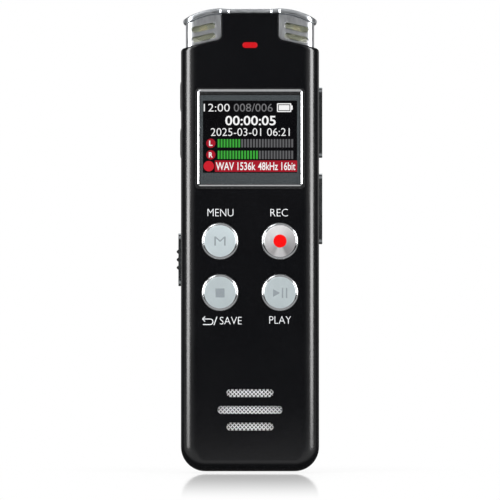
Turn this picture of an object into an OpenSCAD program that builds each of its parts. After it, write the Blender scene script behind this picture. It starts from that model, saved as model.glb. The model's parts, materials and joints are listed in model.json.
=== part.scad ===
// Handheld voice recorder with two microphones, a colour screen and a loudspeaker.
// It stands on its base: +Z is up, +X is to the right, and the front face looks along -Y.
// The origin is at the middle of the base. Lengths are in millimetres.

/* [Body] */
// Width across the two sides
body_w = 30; // [28.5:0.5:36]
// Depth from the front face to the back face
body_d = 11; // [11:0.1:13.2]
// Height from the base to the top of the cap
body_h = 100.5; // [100:0.5:121]
// Thickness of the plastic walls
wall = 1.2; // [1:0.05:1.4]
// Radius of the two bottom corners, seen from the front
corner_r = 5.3; // [4.5:0.1:6.4]
// Radius of the long rounded edges
edge_r = 2.5; // [2.2:0.1:2.6]

/* [Neck and cap] */
// Width of the neck that carries the cap
neck_w = 12.4; // [12.4:0.1:13]
// Height of the neck above the shoulders
neck_h = 5.6; // [5.4:0.1:6.4]
// Slope of the shoulders in degrees
shoulder_angle = 13; // [10:1:15]
// Thickness of the metal cap
cap_t = 1.15; // [1:0.05:1.4]
// How far the cap falls from its middle to its tips
cap_drop = 2.3; // [1.8:0.1:2.6]
// How far each tip of the cap stays inside the body's side
cap_inset = 0.47; // [0.4:0.01:1]

/* [Microphones] */
// How far each microphone housing stays inside the body's side
housing_inset = 1.08; // [1:0.01:1.6]
// Wall of a microphone housing
housing_wall = 0.9; // [0.7:0.05:1]
// Length of a grille slot
grille_slot_l = 5.3; // [4.2:0.1:5.4]
// Height of a grille slot
grille_slot_h = 1.3; // [1:0.1:1.4]
// Height of the lower slot's middle above the shoulder
grille_slot_low = 1.2; // [1.2:0.05:1.3]
// Distance between the two slots
grille_slot_pitch = 2.23; // [1.9:0.01:2.4]
// Diameter of a microphone capsule
mic_d = 3.9; // [3.2:0.1:4]

/* [Screen] */
// Width of the screen bezel
bezel_w = 23.9; // [23:0.1:25]
// Height of the screen bezel
bezel_h = 21.9; // [21.4:0.1:24]
// Width of the screen lens
lens_w = 21.7; // [18:0.1:22]
// Height of the screen lens
lens_h = 19.3; // [16:0.1:19.6]
// Height of the middle of the screen above the base
screen_z = 72; // [72:0.5:75]

/* [Front buttons] */
// Diameter of a front button
button_d = 8.1; // [6.7:0.1:9.8]
// Distance between the two columns of buttons
button_dx = 13; // [12.8:0.1:14]
// Height of the lower row of buttons above the base
button_z = 38.85; // [38:0.05:40]
// Distance between the two rows of buttons
button_dz = 11.15; // [11.05:0.05:12]
// How far a button stands out of the front face
button_proud = 0.55; // [0.3:0.05:0.8]
// How far a front button travels
button_travel = 0.3; // [0.2:0.05:0.35]

/* [Speaker] */
// Diameter of the loudspeaker
speaker_d = 16; // [13.3:0.1:16.4]
// Height of the loudspeaker's middle above the base
speaker_z = 13.4; // [13:0.1:15]
// Length of the middle speaker slot
speaker_slot_l = 14; // [11:0.1:14.4]
// Length of the outer speaker slots
speaker_slot_short = 10.2; // [8:0.1:12]
// Height of a speaker slot
speaker_slot_h = 1.75; // [1.2:0.05:2]
// Distance between the speaker slots
speaker_slot_pitch = 3.65; // [3:0.05:3.8]

/* [Side keys] */
// Width of the keys, across the depth of the body
key_w = 3.2; // [2.8:0.1:3.3]
// Length of a rocker key on the right side
rocker_l = 15.35; // [12.75:0.05:16]
// Height of the middle of the volume rocker
volume_z = 75.8; // [74.6:0.1:77]
// Height of the middle of the skip rocker
skip_z = 57; // [56.5:0.1:57.2]
// How far a rocker stands out of the side
rocker_proud = 0.72; // [0.4:0.02:1]
// Tilt of a rocker each way in degrees
rocker_tilt = 1.8; // [1:0.1:2]
// Length of a domed key on the left side
key_l = 6.9; // [5.8:0.1:8]
// Height of the middle of the mark key
mark_z = 81.4; // [80.6:0.1:82]
// Height of the middle of the repeat key
repeat_z = 71.3; // [70:0.1:72]
// How far a domed key stands out of the side
key_proud = 0.2; // [0.1:0.02:0.4]
// Travel of a domed key
key_travel = 0.25; // [0.15:0.05:0.25]
// Length of the slide knob's plate
knob_l = 11.5; // [11.5:0.1:13]
// Height of the middle of the slide knob at rest
knob_z = 45.95; // [45.5:0.05:47]
// How far the plate of the slide knob stands out of the side
knob_proud = 0.58; // [0.5:0.02:0.8]
// Travel of the slide knob
knob_travel = 2; // [1.6:0.1:2.4]

/* [Inside] */
// Thickness of the circuit board
board_t = 1; // [0.8:0.1:1.2]
// Room between the front wall and the circuit board
front_room = 2.4; // [2.4:0.05:2.5]
// Width of the battery
battery_w = 17; // [14:0.5:17.5]
// Height of the battery
battery_h = 43; // [36:0.5:43.5]
// Thickness of the battery
battery_t = 4.2; // [3.5:0.1:4.4]
// Height of the battery's lower end above the base
battery_z = 25; // [25:0.5:26]
// Radius of the headphone socket's bore
jack_bore_r = 1.78; // [1.7:0.01:1.85]
// Depth of the headphone socket's bore
jack_bore_l = 14; // [12:0.5:14]
// Width of the charging port's metal shell
usb_w = 8.94; // [8.4:0.02:9.2]
// Height of the charging port's metal shell
usb_t = 3.26; // [2.6:0.02:3.3]

/* [Hidden] */
$fn = 48;
arc_steps = 8;

// Clearances
fit = 0.1;
slide_gap = 0.05;
pin_gap = 0.03;
seat_gap = 0.02;

// The outer body and its planes
half_w = body_w / 2;
front_y = -body_d / 2;
back_y = body_d / 2;
inner_half = half_w - wall;
inner_front = front_y + wall;
inner_back = back_y - wall;
parting_y = back_y - edge_r;
neck_half = neck_w / 2;
neck_top = body_h - cap_t;
shoulder_z = neck_top - neck_h;
shoulder_r = 0.9;
neck_fillet = 1.2;
// Long enough to cut right through the body
far = 200;

// The cap is an arc to each side of a flat middle
cap_half = half_w - cap_inset - cap_t / 2;
cap_span = cap_half - neck_half;
cap_mid_r = (cap_span * cap_span + cap_drop * cap_drop) / (2 * cap_drop);
cap_axis_z = body_h - cap_t / 2 - cap_mid_r;
cap_reach = asin(cap_span / cap_mid_r);
cap_under_r = cap_mid_r - cap_t / 2;

// Microphone housings
housing_out = half_w - housing_inset;
housing_floor = 0.5;
housing_y = back_y - fit;
housing_edge_r = 1.4;
housing_in = neck_half + housing_wall;
mesh_t = 0.3;
mic_x = (neck_half + housing_out) / 2;
mic_l = 2.4;
boot_wall = 0.4;
boot_r = mic_d / 2 + boot_wall;
boot_l = 3;
mic_z = shoulder_at(mic_x) + (housing_floor + boot_r + seat_gap) / cos(shoulder_angle);
mesh_front = -housing_y + housing_wall;
boot_front = mesh_front + mesh_t + seat_gap;
mesh_rise = grille_slot_low + grille_slot_pitch + grille_slot_h / 2 + 0.5;
lead_hole_r = 0.8;
lead_y = 0.3;
lead_z = mic_z + 0.5;

// Circuit board
board_front = inner_front + front_room;
board_back = board_front + board_t;
board_half = inner_half - 2.2;
board_low = wall + 0.4;
board_corner_r = 3;
cover_screw_x = half_w - 4.2;
cover_screw_low = 8;
cover_screw_high = body_h - 12;
board_top = cover_screw_high - 2.3;
board_neck_half = neck_half - wall - 0.3;
board_neck_top = neck_top - wall - 0.75;
board_screw_x = board_half - 1.3;
board_screw_zs = [29, 57.5];

// Screws and their posts
screw_r = 0.6;
cover_boss_r = 1.6;
cover_head_r = 1.5;
cover_head_t = 0.8;
cover_screw_l = 5.5;
board_screw_r = 0.5;
board_post_r = 1.5;
board_head_r = 1.1;
board_head_t = 0.6;

// Screen stack, from the front face inwards
bezel_proud = 0.2;
bezel_seat = 0.6;
bezel_rise = 0.25;
bezel_corner_r = 1;
lens_seat = 0.9;
ledge = 0.45;
panel_w = lens_w - 0.5;
panel_h = lens_h - 0.3;
panel_t = 1.7;
panel_front = inner_front + slide_gap;
tray_wall = 0.6;
flex_t = 0.2;
flex_w = 8;

// Front buttons
flange_t = 0.5;
flange_r = button_d / 2 + 0.6;
rim = 0.6;
front_switch_w = 4.6;
front_switch_t = 1.3;
front_plunger_r = 1;
button_places = [for (row = [0, 1]) for (side = [-1, 1]) [side * button_dx / 2, button_z + row * button_dz]];
dot_r = 1.5;
dot_t = 0.3;

// Side keys: the middle of each lies level with the switches on the back of the board
side_switch_t = 1.8;
side_switch_w = 3.5;
side_switch_in = 2.2;
side_switch_out = 0.2;
key_y = board_back + side_switch_t / 2;
side_plunger_r = 0.5;
plunger_tail = board_half - 0.3;
switch_bore = side_switch_out + 0.3 + key_travel + slide_gap;
rocker_throw = 5;
rocker_flange_extra = 0.5;
rocker_swing = (rocker_l / 2 + rocker_flange_extra) * sin(rocker_tilt);
rocker_flange_out = inner_half - rocker_swing - 0.09;
rocker_flange_in = rocker_flange_out - 0.55;
hinge_x = inner_half - 1.3;
hinge_pin_r = 0.4;
hub_half = 1.1;
hub_in = hinge_x - 0.6;
ear_t = 0.6;
rocker_window_gap = 0.15;
key_flange_t = 0.55;
key_flange_extra = 0.55;
key_flange_in = inner_half - slide_gap - key_flange_t;
rocker_zs = [skip_z, volume_z];
key_zs = [repeat_z, mark_z];

// Slide knob and its switch
knob_plate_t = knob_proud - slide_gap;
knob_rib = 0.37;
knob_rib_pitch = 1.73;
stem_l = 3.2;
stem_t = 1.8;
stem_low = knob_z - 1.75;
stem_slot_gap = 0.1;
lever_t = 0.5;
nub_l = 1.8;
nub_t = 0.7;
nub_mid = stem_low + stem_l / 2;
slide_body_in = 2.7;

// Loudspeaker
speaker_r = speaker_d / 2;
speaker_rim = 1.1;
grille_wall = 0.6;
mesh_plate_w = speaker_slot_l + 1.2;
mesh_plate_h = 2 * speaker_slot_pitch + speaker_slot_h + 1;
magnet_r = speaker_r - 3.85;

// Sockets
jack_t = 4.6;
jack_w = 6.4;
jack_y = board_back + jack_t / 2;
jack_nose_r = 2.4;
jack_top = neck_top - wall - 0.05;
jack_nose_top = body_h - 0.15;
jack_low = jack_nose_top - jack_bore_l - 1.2;
usb_y = board_back + usb_t / 2;
usb_l = 7.3;
usb_wall = 0.33;
usb_low = 0.1;

// Battery and chips, behind the board
battery_front = board_back + 0.4;
chips_z = screen_z + 5;
chip_t = 0.9;

// Status light
led_z = shoulder_z - 1.25;
light_w = 3.15;
light_h = 1.15;
led_t = 0.8;

// Wiring: each lead is a smooth curve from a solder joint to a solder joint
lead_r = 0.25;
lead_sides = 8;
lead_rings = 14;

// ---- Plain helpers -------------------------------------------------------------------------

// Points along an arc
function arc(cx, cy, r, from, to, n = arc_steps) =
    [for (i = [0:n]) let (a = from + (to - from) * i / n) [cx + r * cos(a), cy + r * sin(a)]];

// A path up the right half, closed by its mirror image on the left
function both_sides(path) =
    concat(path, [for (i = [len(path) - 1:-1:0]) [-path[i][0], path[i][1]]]);

// Rounded rectangle between two lines of y
function round_box(half_x, low, high, r) = concat(
    arc(half_x - r, low + r, r, -90, 0),
    arc(half_x - r, high - r, r, 0, 90),
    arc(r - half_x, high - r, r, 90, 180),
    arc(r - half_x, low + r, r, 180, 270)
);

// Slot with round ends, lying along x
function stadium(l, h) = concat(
    arc(l / 2 - h / 2, 0, h / 2, -90, 90),
    arc(h / 2 - l / 2, 0, h / 2, 90, 270)
);

module along_x(from, to)
    translate([from, 0, 0]) rotate([90, 0, 90]) linear_extrude(to - from) children();
module along_y(from, to)
    translate([0, to, 0]) rotate([90, 0, 0]) linear_extrude(to - from) children();
module along_z(from, to) translate([0, 0, from]) linear_extrude(to - from) children();
module block(x, y, z)
    translate([x[0], y[0], z[0]]) cube([x[1] - x[0], y[1] - y[0], z[1] - z[0]]);
module turned(x, z) translate([x, 0, z]) rotate([-90, 0, 0]) rotate_extrude() children();
module on_side(side) mirror([side < 0 ? 1 : 0, 0, 0]) children();

// ---- Outer form ----------------------------------------------------------------------------

// Height of the sloping shoulder at a distance x from the middle
function shoulder_at(x) = shoulder_z - (x - neck_half) * tan(shoulder_angle);

// The round inside corner between shoulder and neck
function neck_corner() =
    let (x = neck_half + neck_fillet)
    arc(x, shoulder_at(x) + neck_fillet / cos(shoulder_angle), neck_fillet, 270 - shoulder_angle, 180);

// The round corner between side and shoulder
function shoulder_corner() =
    let (x = half_w - shoulder_r)
    arc(x, shoulder_at(x) - shoulder_r / cos(shoulder_angle), shoulder_r, 0, 90 - shoulder_angle);

// A slab with rounded long edges that also run round its two bottom corners
module rounded_slab(half, front, back, low, high, corner, edge) {
    along_z(low + corner, high) polygon(round_box(half, front, back, edge));
    along_x(corner - half, half - corner)
        polygon(concat(
            [[back, low + corner], [front, low + corner]],
            arc(front + edge, low + edge, edge, 180, 270),
            arc(back - edge, low + edge, edge, 270, 360)
        ));
    for (side = [-1, 1])
        on_side(side)
            translate([half - corner, 0, low + corner])
                rotate([-90, 0, 0])
                    rotate_extrude(angle = 90)
                        polygon(concat(
                            [[0, front]],
                            arc(corner - edge, front + edge, edge, -90, 0),
                            arc(corner - edge, back - edge, edge, 0, 90),
                            [[0, back]]
                        ));
}

module outer_body() {
    intersection() {
        rounded_slab(half_w, front_y, back_y, 0, neck_top, corner_r, edge_r);
        along_y(-body_d, body_d)
            polygon(both_sides(concat(
                [[half_w + 1, -1], [half_w + 1, shoulder_corner()[0][1]]],
                shoulder_corner(),
                neck_corner(),
                [[neck_half, neck_top + 1]]
            )));
    }
}

module inner_space() {
    in_neck = neck_half - wall;
    drop = wall / cos(shoulder_angle);
    intersection() {
        rounded_slab(
            inner_half, inner_front, inner_back, wall, neck_top - wall, corner_r - wall, edge_r - wall
        );
        along_y(-body_d, body_d)
            polygon(both_sides([
                [half_w, -1],
                [half_w, shoulder_at(half_w) - drop],
                [in_neck, shoulder_at(in_neck) - drop],
                [in_neck, neck_top + 1]
            ]));
    }
}

module jack_hole() along_z(jack_top - 1, body_h + 1) translate([0, jack_y]) circle(jack_nose_r + fit);
module lead_holes() along_x(-neck_half - 2, neck_half + 2) translate([lead_y, lead_z]) circle(lead_hole_r);

// ---- Casing --------------------------------------------------------------------------------

module at_cover_screws() {
    for (x = [-cover_screw_x, cover_screw_x])
        for (z = [cover_screw_low, cover_screw_high])
            translate([x, 0, z]) children();
}

module at_board_screws() {
    for (x = [-board_screw_x, board_screw_x])
        for (z = board_screw_zs)
            translate([x, 0, z]) children();
}

module hinge_ears() {
    for (z = rocker_zs)
        for (side = [-1, 1]) {
            inner = key_y + side * (key_w / 2 + rocker_window_gap);
            outer = inner + side * ear_t;
            block(
                [hub_in, half_w - wall / 2],
                [min(inner, outer), max(inner, outer)],
                [z - hub_half, z + hub_half]
            );
        }
}

module screen_cuts() {
    steps = [
        [bezel_w / 2 + slide_gap, bezel_h / 2 + slide_gap, bezel_rise, bezel_seat],
        [lens_w / 2 + slide_gap, lens_h / 2 + slide_gap, 0, lens_seat],
        [lens_w / 2 - ledge, lens_h / 2 - ledge, 0, wall + 1]
    ];
    for (s = steps)
        block(
            [-s[0], s[0]],
            [front_y - 1, front_y + s[3]],
            [screen_z + s[2] - s[1], screen_z + s[2] + s[1]]
        );
}

module speaker_cuts() {
    rows = [speaker_slot_short, speaker_slot_l, speaker_slot_short];
    for (i = [0:2])
        translate([0, 0, speaker_z + (i - 1) * speaker_slot_pitch])
            along_y(front_y - 1, inner_front + 1) polygon(stadium(rows[i], speaker_slot_h));
    w = mesh_plate_w / 2 + slide_gap;
    h = mesh_plate_h / 2 + slide_gap;
    block([-w, w], [front_y + grille_wall, inner_front + 1], [speaker_z - h, speaker_z + h]);
}

module side_windows() {
    rw = key_w / 2 + fit;
    for (z = rocker_zs) {
        h = rocker_l / 2 + rocker_window_gap;
        block([inner_half - 0.01, half_w + 1], [key_y - rw, key_y + rw], [z - h, z + h]);
    }
    for (z = key_zs) {
        h = key_l / 2 + fit;
        block([-half_w - 1, 0.01 - inner_half], [key_y - rw, key_y + rw], [z - h, z + h]);
    }
    sw = stem_t / 2 + stem_slot_gap;
    block(
        [-half_w - 1, 0.01 - inner_half],
        [key_y - sw, key_y + sw],
        [stem_low - stem_slot_gap, stem_low + stem_l + knob_travel + stem_slot_gap]
    );
}

module front_shell() {
    color("#1b1c1e")
        difference() {
            union() {
                difference() {
                    intersection() {
                        outer_body();
                        block([-body_w, body_w], [-body_d, parting_y], [-1, body_h]);
                    }
                    inner_space();
                }
                at_cover_screws() along_y(front_y + wall / 2, parting_y) circle(cover_boss_r);
                at_board_screws() along_y(front_y + wall / 2, board_front) circle(board_post_r);
                hinge_ears();
            }
            at_cover_screws() along_y(back_y - cover_screw_l - 1.2, parting_y + 1) circle(screw_r);
            at_board_screws() along_y(inner_front + 0.3, board_front + 1) circle(board_screw_r);
            for (z = rocker_zs)
                translate([hinge_x, 0, z]) along_y(key_y - key_w, parting_y + 1) circle(hinge_pin_r);
            screen_cuts();
            speaker_cuts();
            side_windows();
            for (p = button_places)
                translate([p[0], 0, p[1]])
                    along_y(front_y - 1, inner_front + 1) circle(button_d / 2 + fit);
            translate([0, 0, led_z])
                along_y(front_y - 1, inner_front + 1)
                    polygon(stadium(light_w + 2 * slide_gap, light_h + 2 * slide_gap));
            along_z(-1, wall + 1)
                translate([0, usb_y]) polygon(stadium(usb_w + 2 * fit, usb_t + 2 * fit));
            jack_hole();
            lead_holes();
        }
}

module cover_lip() {
    lip_t = 0.7;
    lip_depth = 0.5;
    lip_top = skip_z - rocker_l / 2 - 2;
    root = 0.3;
    for (part = [[fit, parting_y - lip_depth, parting_y + root], [-root, parting_y, parting_y + 2 * root]])
        difference() {
            along_y(part[1], part[2]) polygon(lip_outline(wall + part[0], lip_top));
            along_y(part[1] - 1, part[2] + 1) polygon(lip_outline(wall + fit + lip_t, lip_top + 1));
        }
}

function lip_outline(inset, top) =
    both_sides(concat(
        arc(half_w - corner_r, corner_r, corner_r - inset, 270, 360),
        [[half_w - inset, top]]
    ));

module rear_cover() {
    color("#1b1c1e")
        difference() {
            union() {
                difference() {
                    intersection() {
                        outer_body();
                        block([-body_w, body_w], [parting_y, body_d], [-1, body_h]);
                    }
                    inner_space();
                }
                cover_lip();
                at_cover_screws() along_y(parting_y, back_y - wall / 2) circle(cover_boss_r + 0.1);
            }
            at_cover_screws() along_y(parting_y - 1, back_y) circle(screw_r + fit);
            at_cover_screws() along_y(back_y - cover_head_t - 0.2, back_y + 1) circle(cover_head_r + fit);
            jack_hole();
        }
}

module cover_screws() {
    color("#8d9093")
        at_cover_screws()
            difference() {
                union() {
                    along_y(back_y - cover_screw_l, back_y - cover_head_t) circle(screw_r);
                    along_y(back_y - cover_head_t - 0.2, back_y - 0.2) circle(cover_head_r);
                }
                for (turn = [0, 90])
                    rotate([0, turn, 0]) block([-0.9, 0.9], [back_y - 0.6, back_y], [-0.15, 0.15]);
            }
}

// ---- Top end -------------------------------------------------------------------------------

// The right half of the cap, from under its flat middle round the tip to the top
function cap_path() =
    let (
        tip_x = neck_half + cap_mid_r * sin(cap_reach),
        tip_z = cap_axis_z + cap_mid_r * cos(cap_reach),
        tip_a = 90 - cap_reach
    )
    concat(
        arc(neck_half, cap_axis_z, cap_under_r, 90, tip_a),
        [for (i = [1:arc_steps - 1]) let (a = tip_a - 180 + 180 * i / arc_steps)
            [tip_x + cap_t / 2 * cos(a), tip_z + cap_t / 2 * sin(a)]],
        arc(neck_half, cap_axis_z, cap_under_r + cap_t, tip_a, 90)
    );

module top_cap() {
    color("#a9adb0")
        difference() {
            intersection() {
                along_y(front_y, back_y) polygon(both_sides(cap_path()));
                along_z(0, body_h + 1)
                    polygon(round_box(half_w - cap_inset + 0.1, front_y - 0.1, back_y + 0.1, edge_r));
            }
            jack_hole();
        }
}

// Outline of the right microphone housing, between shoulder, neck and cap
function housing_path() = concat(
    [[housing_out, shoulder_at(housing_out)]],
    neck_corner(),
    [[neck_half, neck_top]],
    arc(neck_half, cap_axis_z, cap_under_r, 90, 90 - cap_reach),
    [[housing_out, cap_axis_z + sqrt(pow(cap_under_r, 2) - pow(housing_out - neck_half, 2))]]
);

// A band that follows the shoulder between two heights above it
function shoulder_band(from, to, x0, x1) = [
    [x0, shoulder_at(x0) + from],
    [x1, shoulder_at(x1) + from],
    [x1, shoulder_at(x1) + to],
    [x0, shoulder_at(x0) + to]
];

module mic_housing(side) {
    edge_x = housing_out - housing_edge_r;
    color("#9da2a6")
        on_side(side)
            difference() {
                intersection() {
                    along_y(-housing_y, housing_y) polygon(housing_path());
                    along_z(0, body_h)
                        polygon(concat(
                            [[0, -housing_y]],
                            arc(edge_x, housing_edge_r - housing_y, housing_edge_r, -90, 0),
                            arc(edge_x, housing_y - housing_edge_r, housing_edge_r, 0, 90),
                            [[0, housing_y]]
                        ));
                }
                along_y(mesh_front, -mesh_front)
                    polygon(shoulder_band(housing_floor, far, housing_in, housing_out - housing_wall));
                for (i = [0, 1])
                    translate([mic_x, 0, shoulder_at(mic_x) + grille_slot_low + i * grille_slot_pitch])
                        rotate([0, shoulder_angle, 0])
                            along_y(-body_d, body_d) polygon(stadium(grille_slot_l, grille_slot_h));
                lead_holes();
            }
}

module mic_mesh(side) {
    band = shoulder_band(
        housing_floor + seat_gap, mesh_rise, housing_in + seat_gap, housing_out - housing_wall - seat_gap
    );
    color("#8f8a78")
        on_side(side)
            for (face = [[mesh_front, mesh_front + mesh_t], [-mesh_front - mesh_t, -mesh_front]])
                along_y(face[0], face[1]) polygon(band);
}

module mic_boot(side) {
    color("#2a2a2c")
        on_side(side)
            translate([mic_x, 0, mic_z])
                difference() {
                    along_y(boot_front, boot_front + boot_l) circle(boot_r);
                    along_y(boot_front + 0.3, boot_front + boot_l + 1) circle(mic_d / 2);
                    along_y(boot_front - 1, boot_front + 1) circle(1);
                }
}

module mic_capsule(side) {
    color("#c9a55a")
        on_side(side)
            translate([mic_x, 0, mic_z])
                along_y(boot_front + 0.3, boot_front + 0.3 + mic_l) circle(mic_d / 2);
}

// ---- Leads ---------------------------------------------------------------------------------

function bezier(p, t) =
    pow(1 - t, 3) * p[0] + 3 * t * pow(1 - t, 2) * p[1] + 3 * t * t * (1 - t) * p[2] + pow(t, 3) * p[3];
function unit(v) = v / norm(v);

// A lead that leaves p[0] towards p[1] and comes to p[3] from p[2]. The vector "across" must not
// lie along the lead anywhere.
module lead(p, across) {
    path = [for (i = [0:lead_rings]) bezier(p, i / lead_rings)];
    rings = [for (i = [0:lead_rings])
        let (
            way = unit(i == 0 ? p[1] - p[0] : i == lead_rings ? p[3] - p[2] : path[i + 1] - path[i - 1]),
            u = unit(cross(way, across)),
            v = cross(way, u)
        )
        [for (k = [0:lead_sides - 1]) let (a = 360 * k / lead_sides)
            path[i] + lead_r * (cos(a) * u + sin(a) * v)]
    ];
    sides = [for (i = [0:lead_rings - 1]) for (k = [0:lead_sides - 1])
        let (a = i * lead_sides + k, b = i * lead_sides + (k + 1) % lead_sides)
        [a, a + lead_sides, b + lead_sides, b]
    ];
    polyhedron(
        points = [for (ring = rings) for (q = ring) q],
        faces = concat(
            [[for (k = [0:lead_sides - 1]) k]],
            sides,
            [[for (k = [lead_sides - 1:-1:0]) lead_rings * lead_sides + k]]
        )
    );
}

module mic_leads() {
    back = boot_front + 0.3 + mic_l + 0.02;
    color("#b03030")
        for (side = [-1, 1])
            on_side(side)
                lead([
                    [mic_x - 0.7, back, mic_z + 0.2],
                    [mic_x - 0.7, 0.6, lead_z],
                    [board_neck_half - 0.4, 1.2, lead_z - 0.2],
                    [board_neck_half - 0.4, board_back + 0.02, lead_z - 0.2]
                ], [0, 0, 1]);
}

module battery_leads() {
    color("#b03030")
        for (side = [-1, 1])
            lead([
                [side * 1.2, battery_front + battery_t / 2, battery_z + battery_h + 0.02],
                [side * 1.2, battery_front + battery_t / 2, battery_z + battery_h + 2.4],
                [side * 1.2, board_back + 3, battery_z + battery_h + 3],
                [side * 1.2, board_back + 0.02, battery_z + battery_h + 3]
            ], [1, 0, 0]);
}

module speaker_leads() {
    color("#202020")
        for (side = [-1, 1])
            lead([
                [side * 0.8, inner_front + 2.62, speaker_z + magnet_r + 0.4],
                [side * 0.8, board_back + 0.9, speaker_z + magnet_r + 0.4],
                [side * 0.8, board_back + 1.3, speaker_z + speaker_r + 1.6],
                [side * 0.8, board_back + 0.02, speaker_z + speaker_r + 1.6]
            ], [1, 0, 0]);
}

// ---- Screen --------------------------------------------------------------------------------

module screen_bezel() {
    color("#b9bcbe")
        difference() {
            translate([0, 0, screen_z + bezel_rise])
                along_y(front_y - bezel_proud, front_y + bezel_seat)
                    polygon(round_box(bezel_w / 2, -bezel_h / 2, bezel_h / 2, bezel_corner_r));
            block(
                [-lens_w / 2 - slide_gap, lens_w / 2 + slide_gap],
                [front_y - 1, front_y + bezel_seat + 1],
                [screen_z - lens_h / 2 - slide_gap, screen_z + lens_h / 2 + slide_gap]
            );
        }
}

module screen_lens() {
    color("#202326")
        block(
            [-lens_w / 2, lens_w / 2],
            [front_y, front_y + lens_seat],
            [screen_z - lens_h / 2, screen_z + lens_h / 2]
        );
}

module display_panel() {
    color("#0a0a0c")
        block(
            [-panel_w / 2, panel_w / 2],
            [panel_front, panel_front + panel_t],
            [screen_z - panel_h / 2, screen_z + panel_h / 2]
        );
}

module display_frame() {
    w = panel_w / 2 + tray_wall;
    h = panel_h / 2 + tray_wall;
    color("#d8d8d8")
        difference() {
            block([-w, w], [inner_front, board_front], [screen_z - h, screen_z + h]);
            block(
                [-panel_w / 2 - slide_gap, panel_w / 2 + slide_gap],
                [inner_front - 1, panel_front + panel_t],
                [screen_z - panel_h / 2 - slide_gap, screen_z + panel_h / 2 + slide_gap]
            );
            block([-w / 2, w / 2], [inner_front, board_front + 1], [screen_z - h / 2, screen_z + h / 2]);
        }
}

module display_flex() {
    low = screen_z - panel_h / 2 - tray_wall - 0.02;
    start = inner_front + 1.1;
    end = board_front - flex_t - 0.02;
    path = [[start, low], [start, low - 1.4], [end, low - 2.4], [end, low - 4.2]];
    color("#c08a3a")
        along_x(-flex_w / 2, flex_w / 2)
            polygon(concat(path, [for (i = [len(path) - 1:-1:0]) path[i] + [flex_t, 0]]));
}

// ---- Circuit board and what sits on it -----------------------------------------------------

module main_board() {
    color("#1f5c3a")
        difference() {
            along_y(board_front, board_back)
                polygon(both_sides(concat(
                    arc(board_half - board_corner_r, board_low + board_corner_r, board_corner_r, 270, 360),
                    [
                        [board_half, board_top],
                        [board_neck_half, board_top],
                        [board_neck_half, board_neck_top]
                    ]
                )));
            translate([0, 0, speaker_z]) along_y(board_front - 1, board_back + 1) circle(speaker_r + 0.4);
            at_cover_screws() along_y(board_front - 1, board_back + 1) circle(cover_boss_r + 0.4);
            at_board_screws() along_y(board_front - 1, board_back + 1) circle(board_screw_r + slide_gap);
        }
}

module board_screws() {
    color("#8d9093")
        at_board_screws()
            difference() {
                union() {
                    along_y(inner_front + 0.6, board_back) circle(board_screw_r);
                    along_y(board_back, board_back + board_head_t) circle(board_head_r);
                }
                block([-0.7, 0.7], [board_back + 0.3, board_back + 1], [-0.12, 0.12]);
            }
}

module processor_chip() {
    color("#141414")
        block([-8.2, -1.2], [board_back, board_back + chip_t], [chips_z - 3.5, chips_z + 3.5]);
}

module memory_chip() {
    color("#181818") block([1.4, 7.4], [board_back, board_back + chip_t], [chips_z - 4, chips_z + 4]);
}

// Small parts: two columns beside the battery, a crystal and a row of capacitors under the chips
module board_parts() {
    color("#b8a070") {
        for (side = [-1, 1])
            for (i = [0:3]) {
                x = side * (board_half - 1.4);
                z = 31.6 + 2 * i;
                block([x - 0.5, x + 0.5], [board_back, board_back + 0.5], [z - 0.3, z + 0.3]);
            }
        block([8, 9.4], [board_back, board_back + 0.8], [chips_z - 1.6, chips_z + 1.6]);
        for (i = [0:3])
            translate([2.4 + 1.4 * i, 0, 0])
                block([0, 0.8], [board_back, board_back + 0.6], [chips_z - 6.2, chips_z - 5.2]);
    }
}

module status_led() {
    color("#f0e8e0")
        block([-0.8, 0.8], [board_front - led_t, board_front], [led_z - 0.4, led_z + 0.4]);
}

module light_pipe() {
    color("#d81c24")
        translate([0, 0, led_z]) {
            along_y(front_y, inner_front) polygon(stadium(light_w, light_h));
            along_y(inner_front, inner_front + 0.4) polygon(stadium(light_w + 0.8, light_h + 0.6));
            along_y(inner_front + 0.4, board_front - led_t - 0.05)
                polygon(stadium(light_w - 0.6, light_h - 0.2));
        }
}

module front_switches() {
    w = front_switch_w / 2;
    color("#c8cacc")
        for (p = button_places)
            translate([p[0], 0, p[1]])
                difference() {
                    block([-w, w], [board_front - front_switch_t, board_front], [-w, w]);
                    along_y(board_front - front_switch_t - 1, board_front - 0.3)
                        circle(front_plunger_r + slide_gap);
                }
}

module side_switch(z) {
    translate([0, 0, z])
        difference() {
            block(
                [board_half - side_switch_in, board_half + side_switch_out],
                [board_back, board_back + side_switch_t],
                [-side_switch_w / 2, side_switch_w / 2]
            );
            along_x(board_half + side_switch_out - switch_bore, board_half + 1)
                translate([key_y, 0]) circle(side_plunger_r + slide_gap);
        }
}

module side_switches() {
    color("#c8cacc") {
        for (z = rocker_zs)
            for (end = [-1, 1])
                side_switch(z + end * rocker_throw);
        for (z = key_zs)
            on_side(-1) side_switch(z);
    }
}

module slide_switch_body() {
    color("#c8cacc")
        on_side(-1)
            difference() {
                block(
                    [board_half - slide_body_in, board_half + side_switch_out],
                    [board_back, board_back + side_switch_t],
                    [nub_mid - nub_l / 2 - 1.2, nub_mid + nub_l / 2 + knob_travel + 1.2]
                );
                block(
                    [board_half - 1.1, board_half + 1],
                    [key_y - nub_t / 2 - fit, key_y + nub_t / 2 + fit],
                    [nub_mid - nub_l / 2 - fit, nub_mid + nub_l / 2 + knob_travel + fit]
                );
            }
}

// ---- Battery and loudspeaker ---------------------------------------------------------------

module battery() {
    color("#3d5f8c")
        along_z(battery_z, battery_z + battery_h)
            polygon(round_box(battery_w / 2, battery_front, battery_front + battery_t, 0.8));
}

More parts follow.
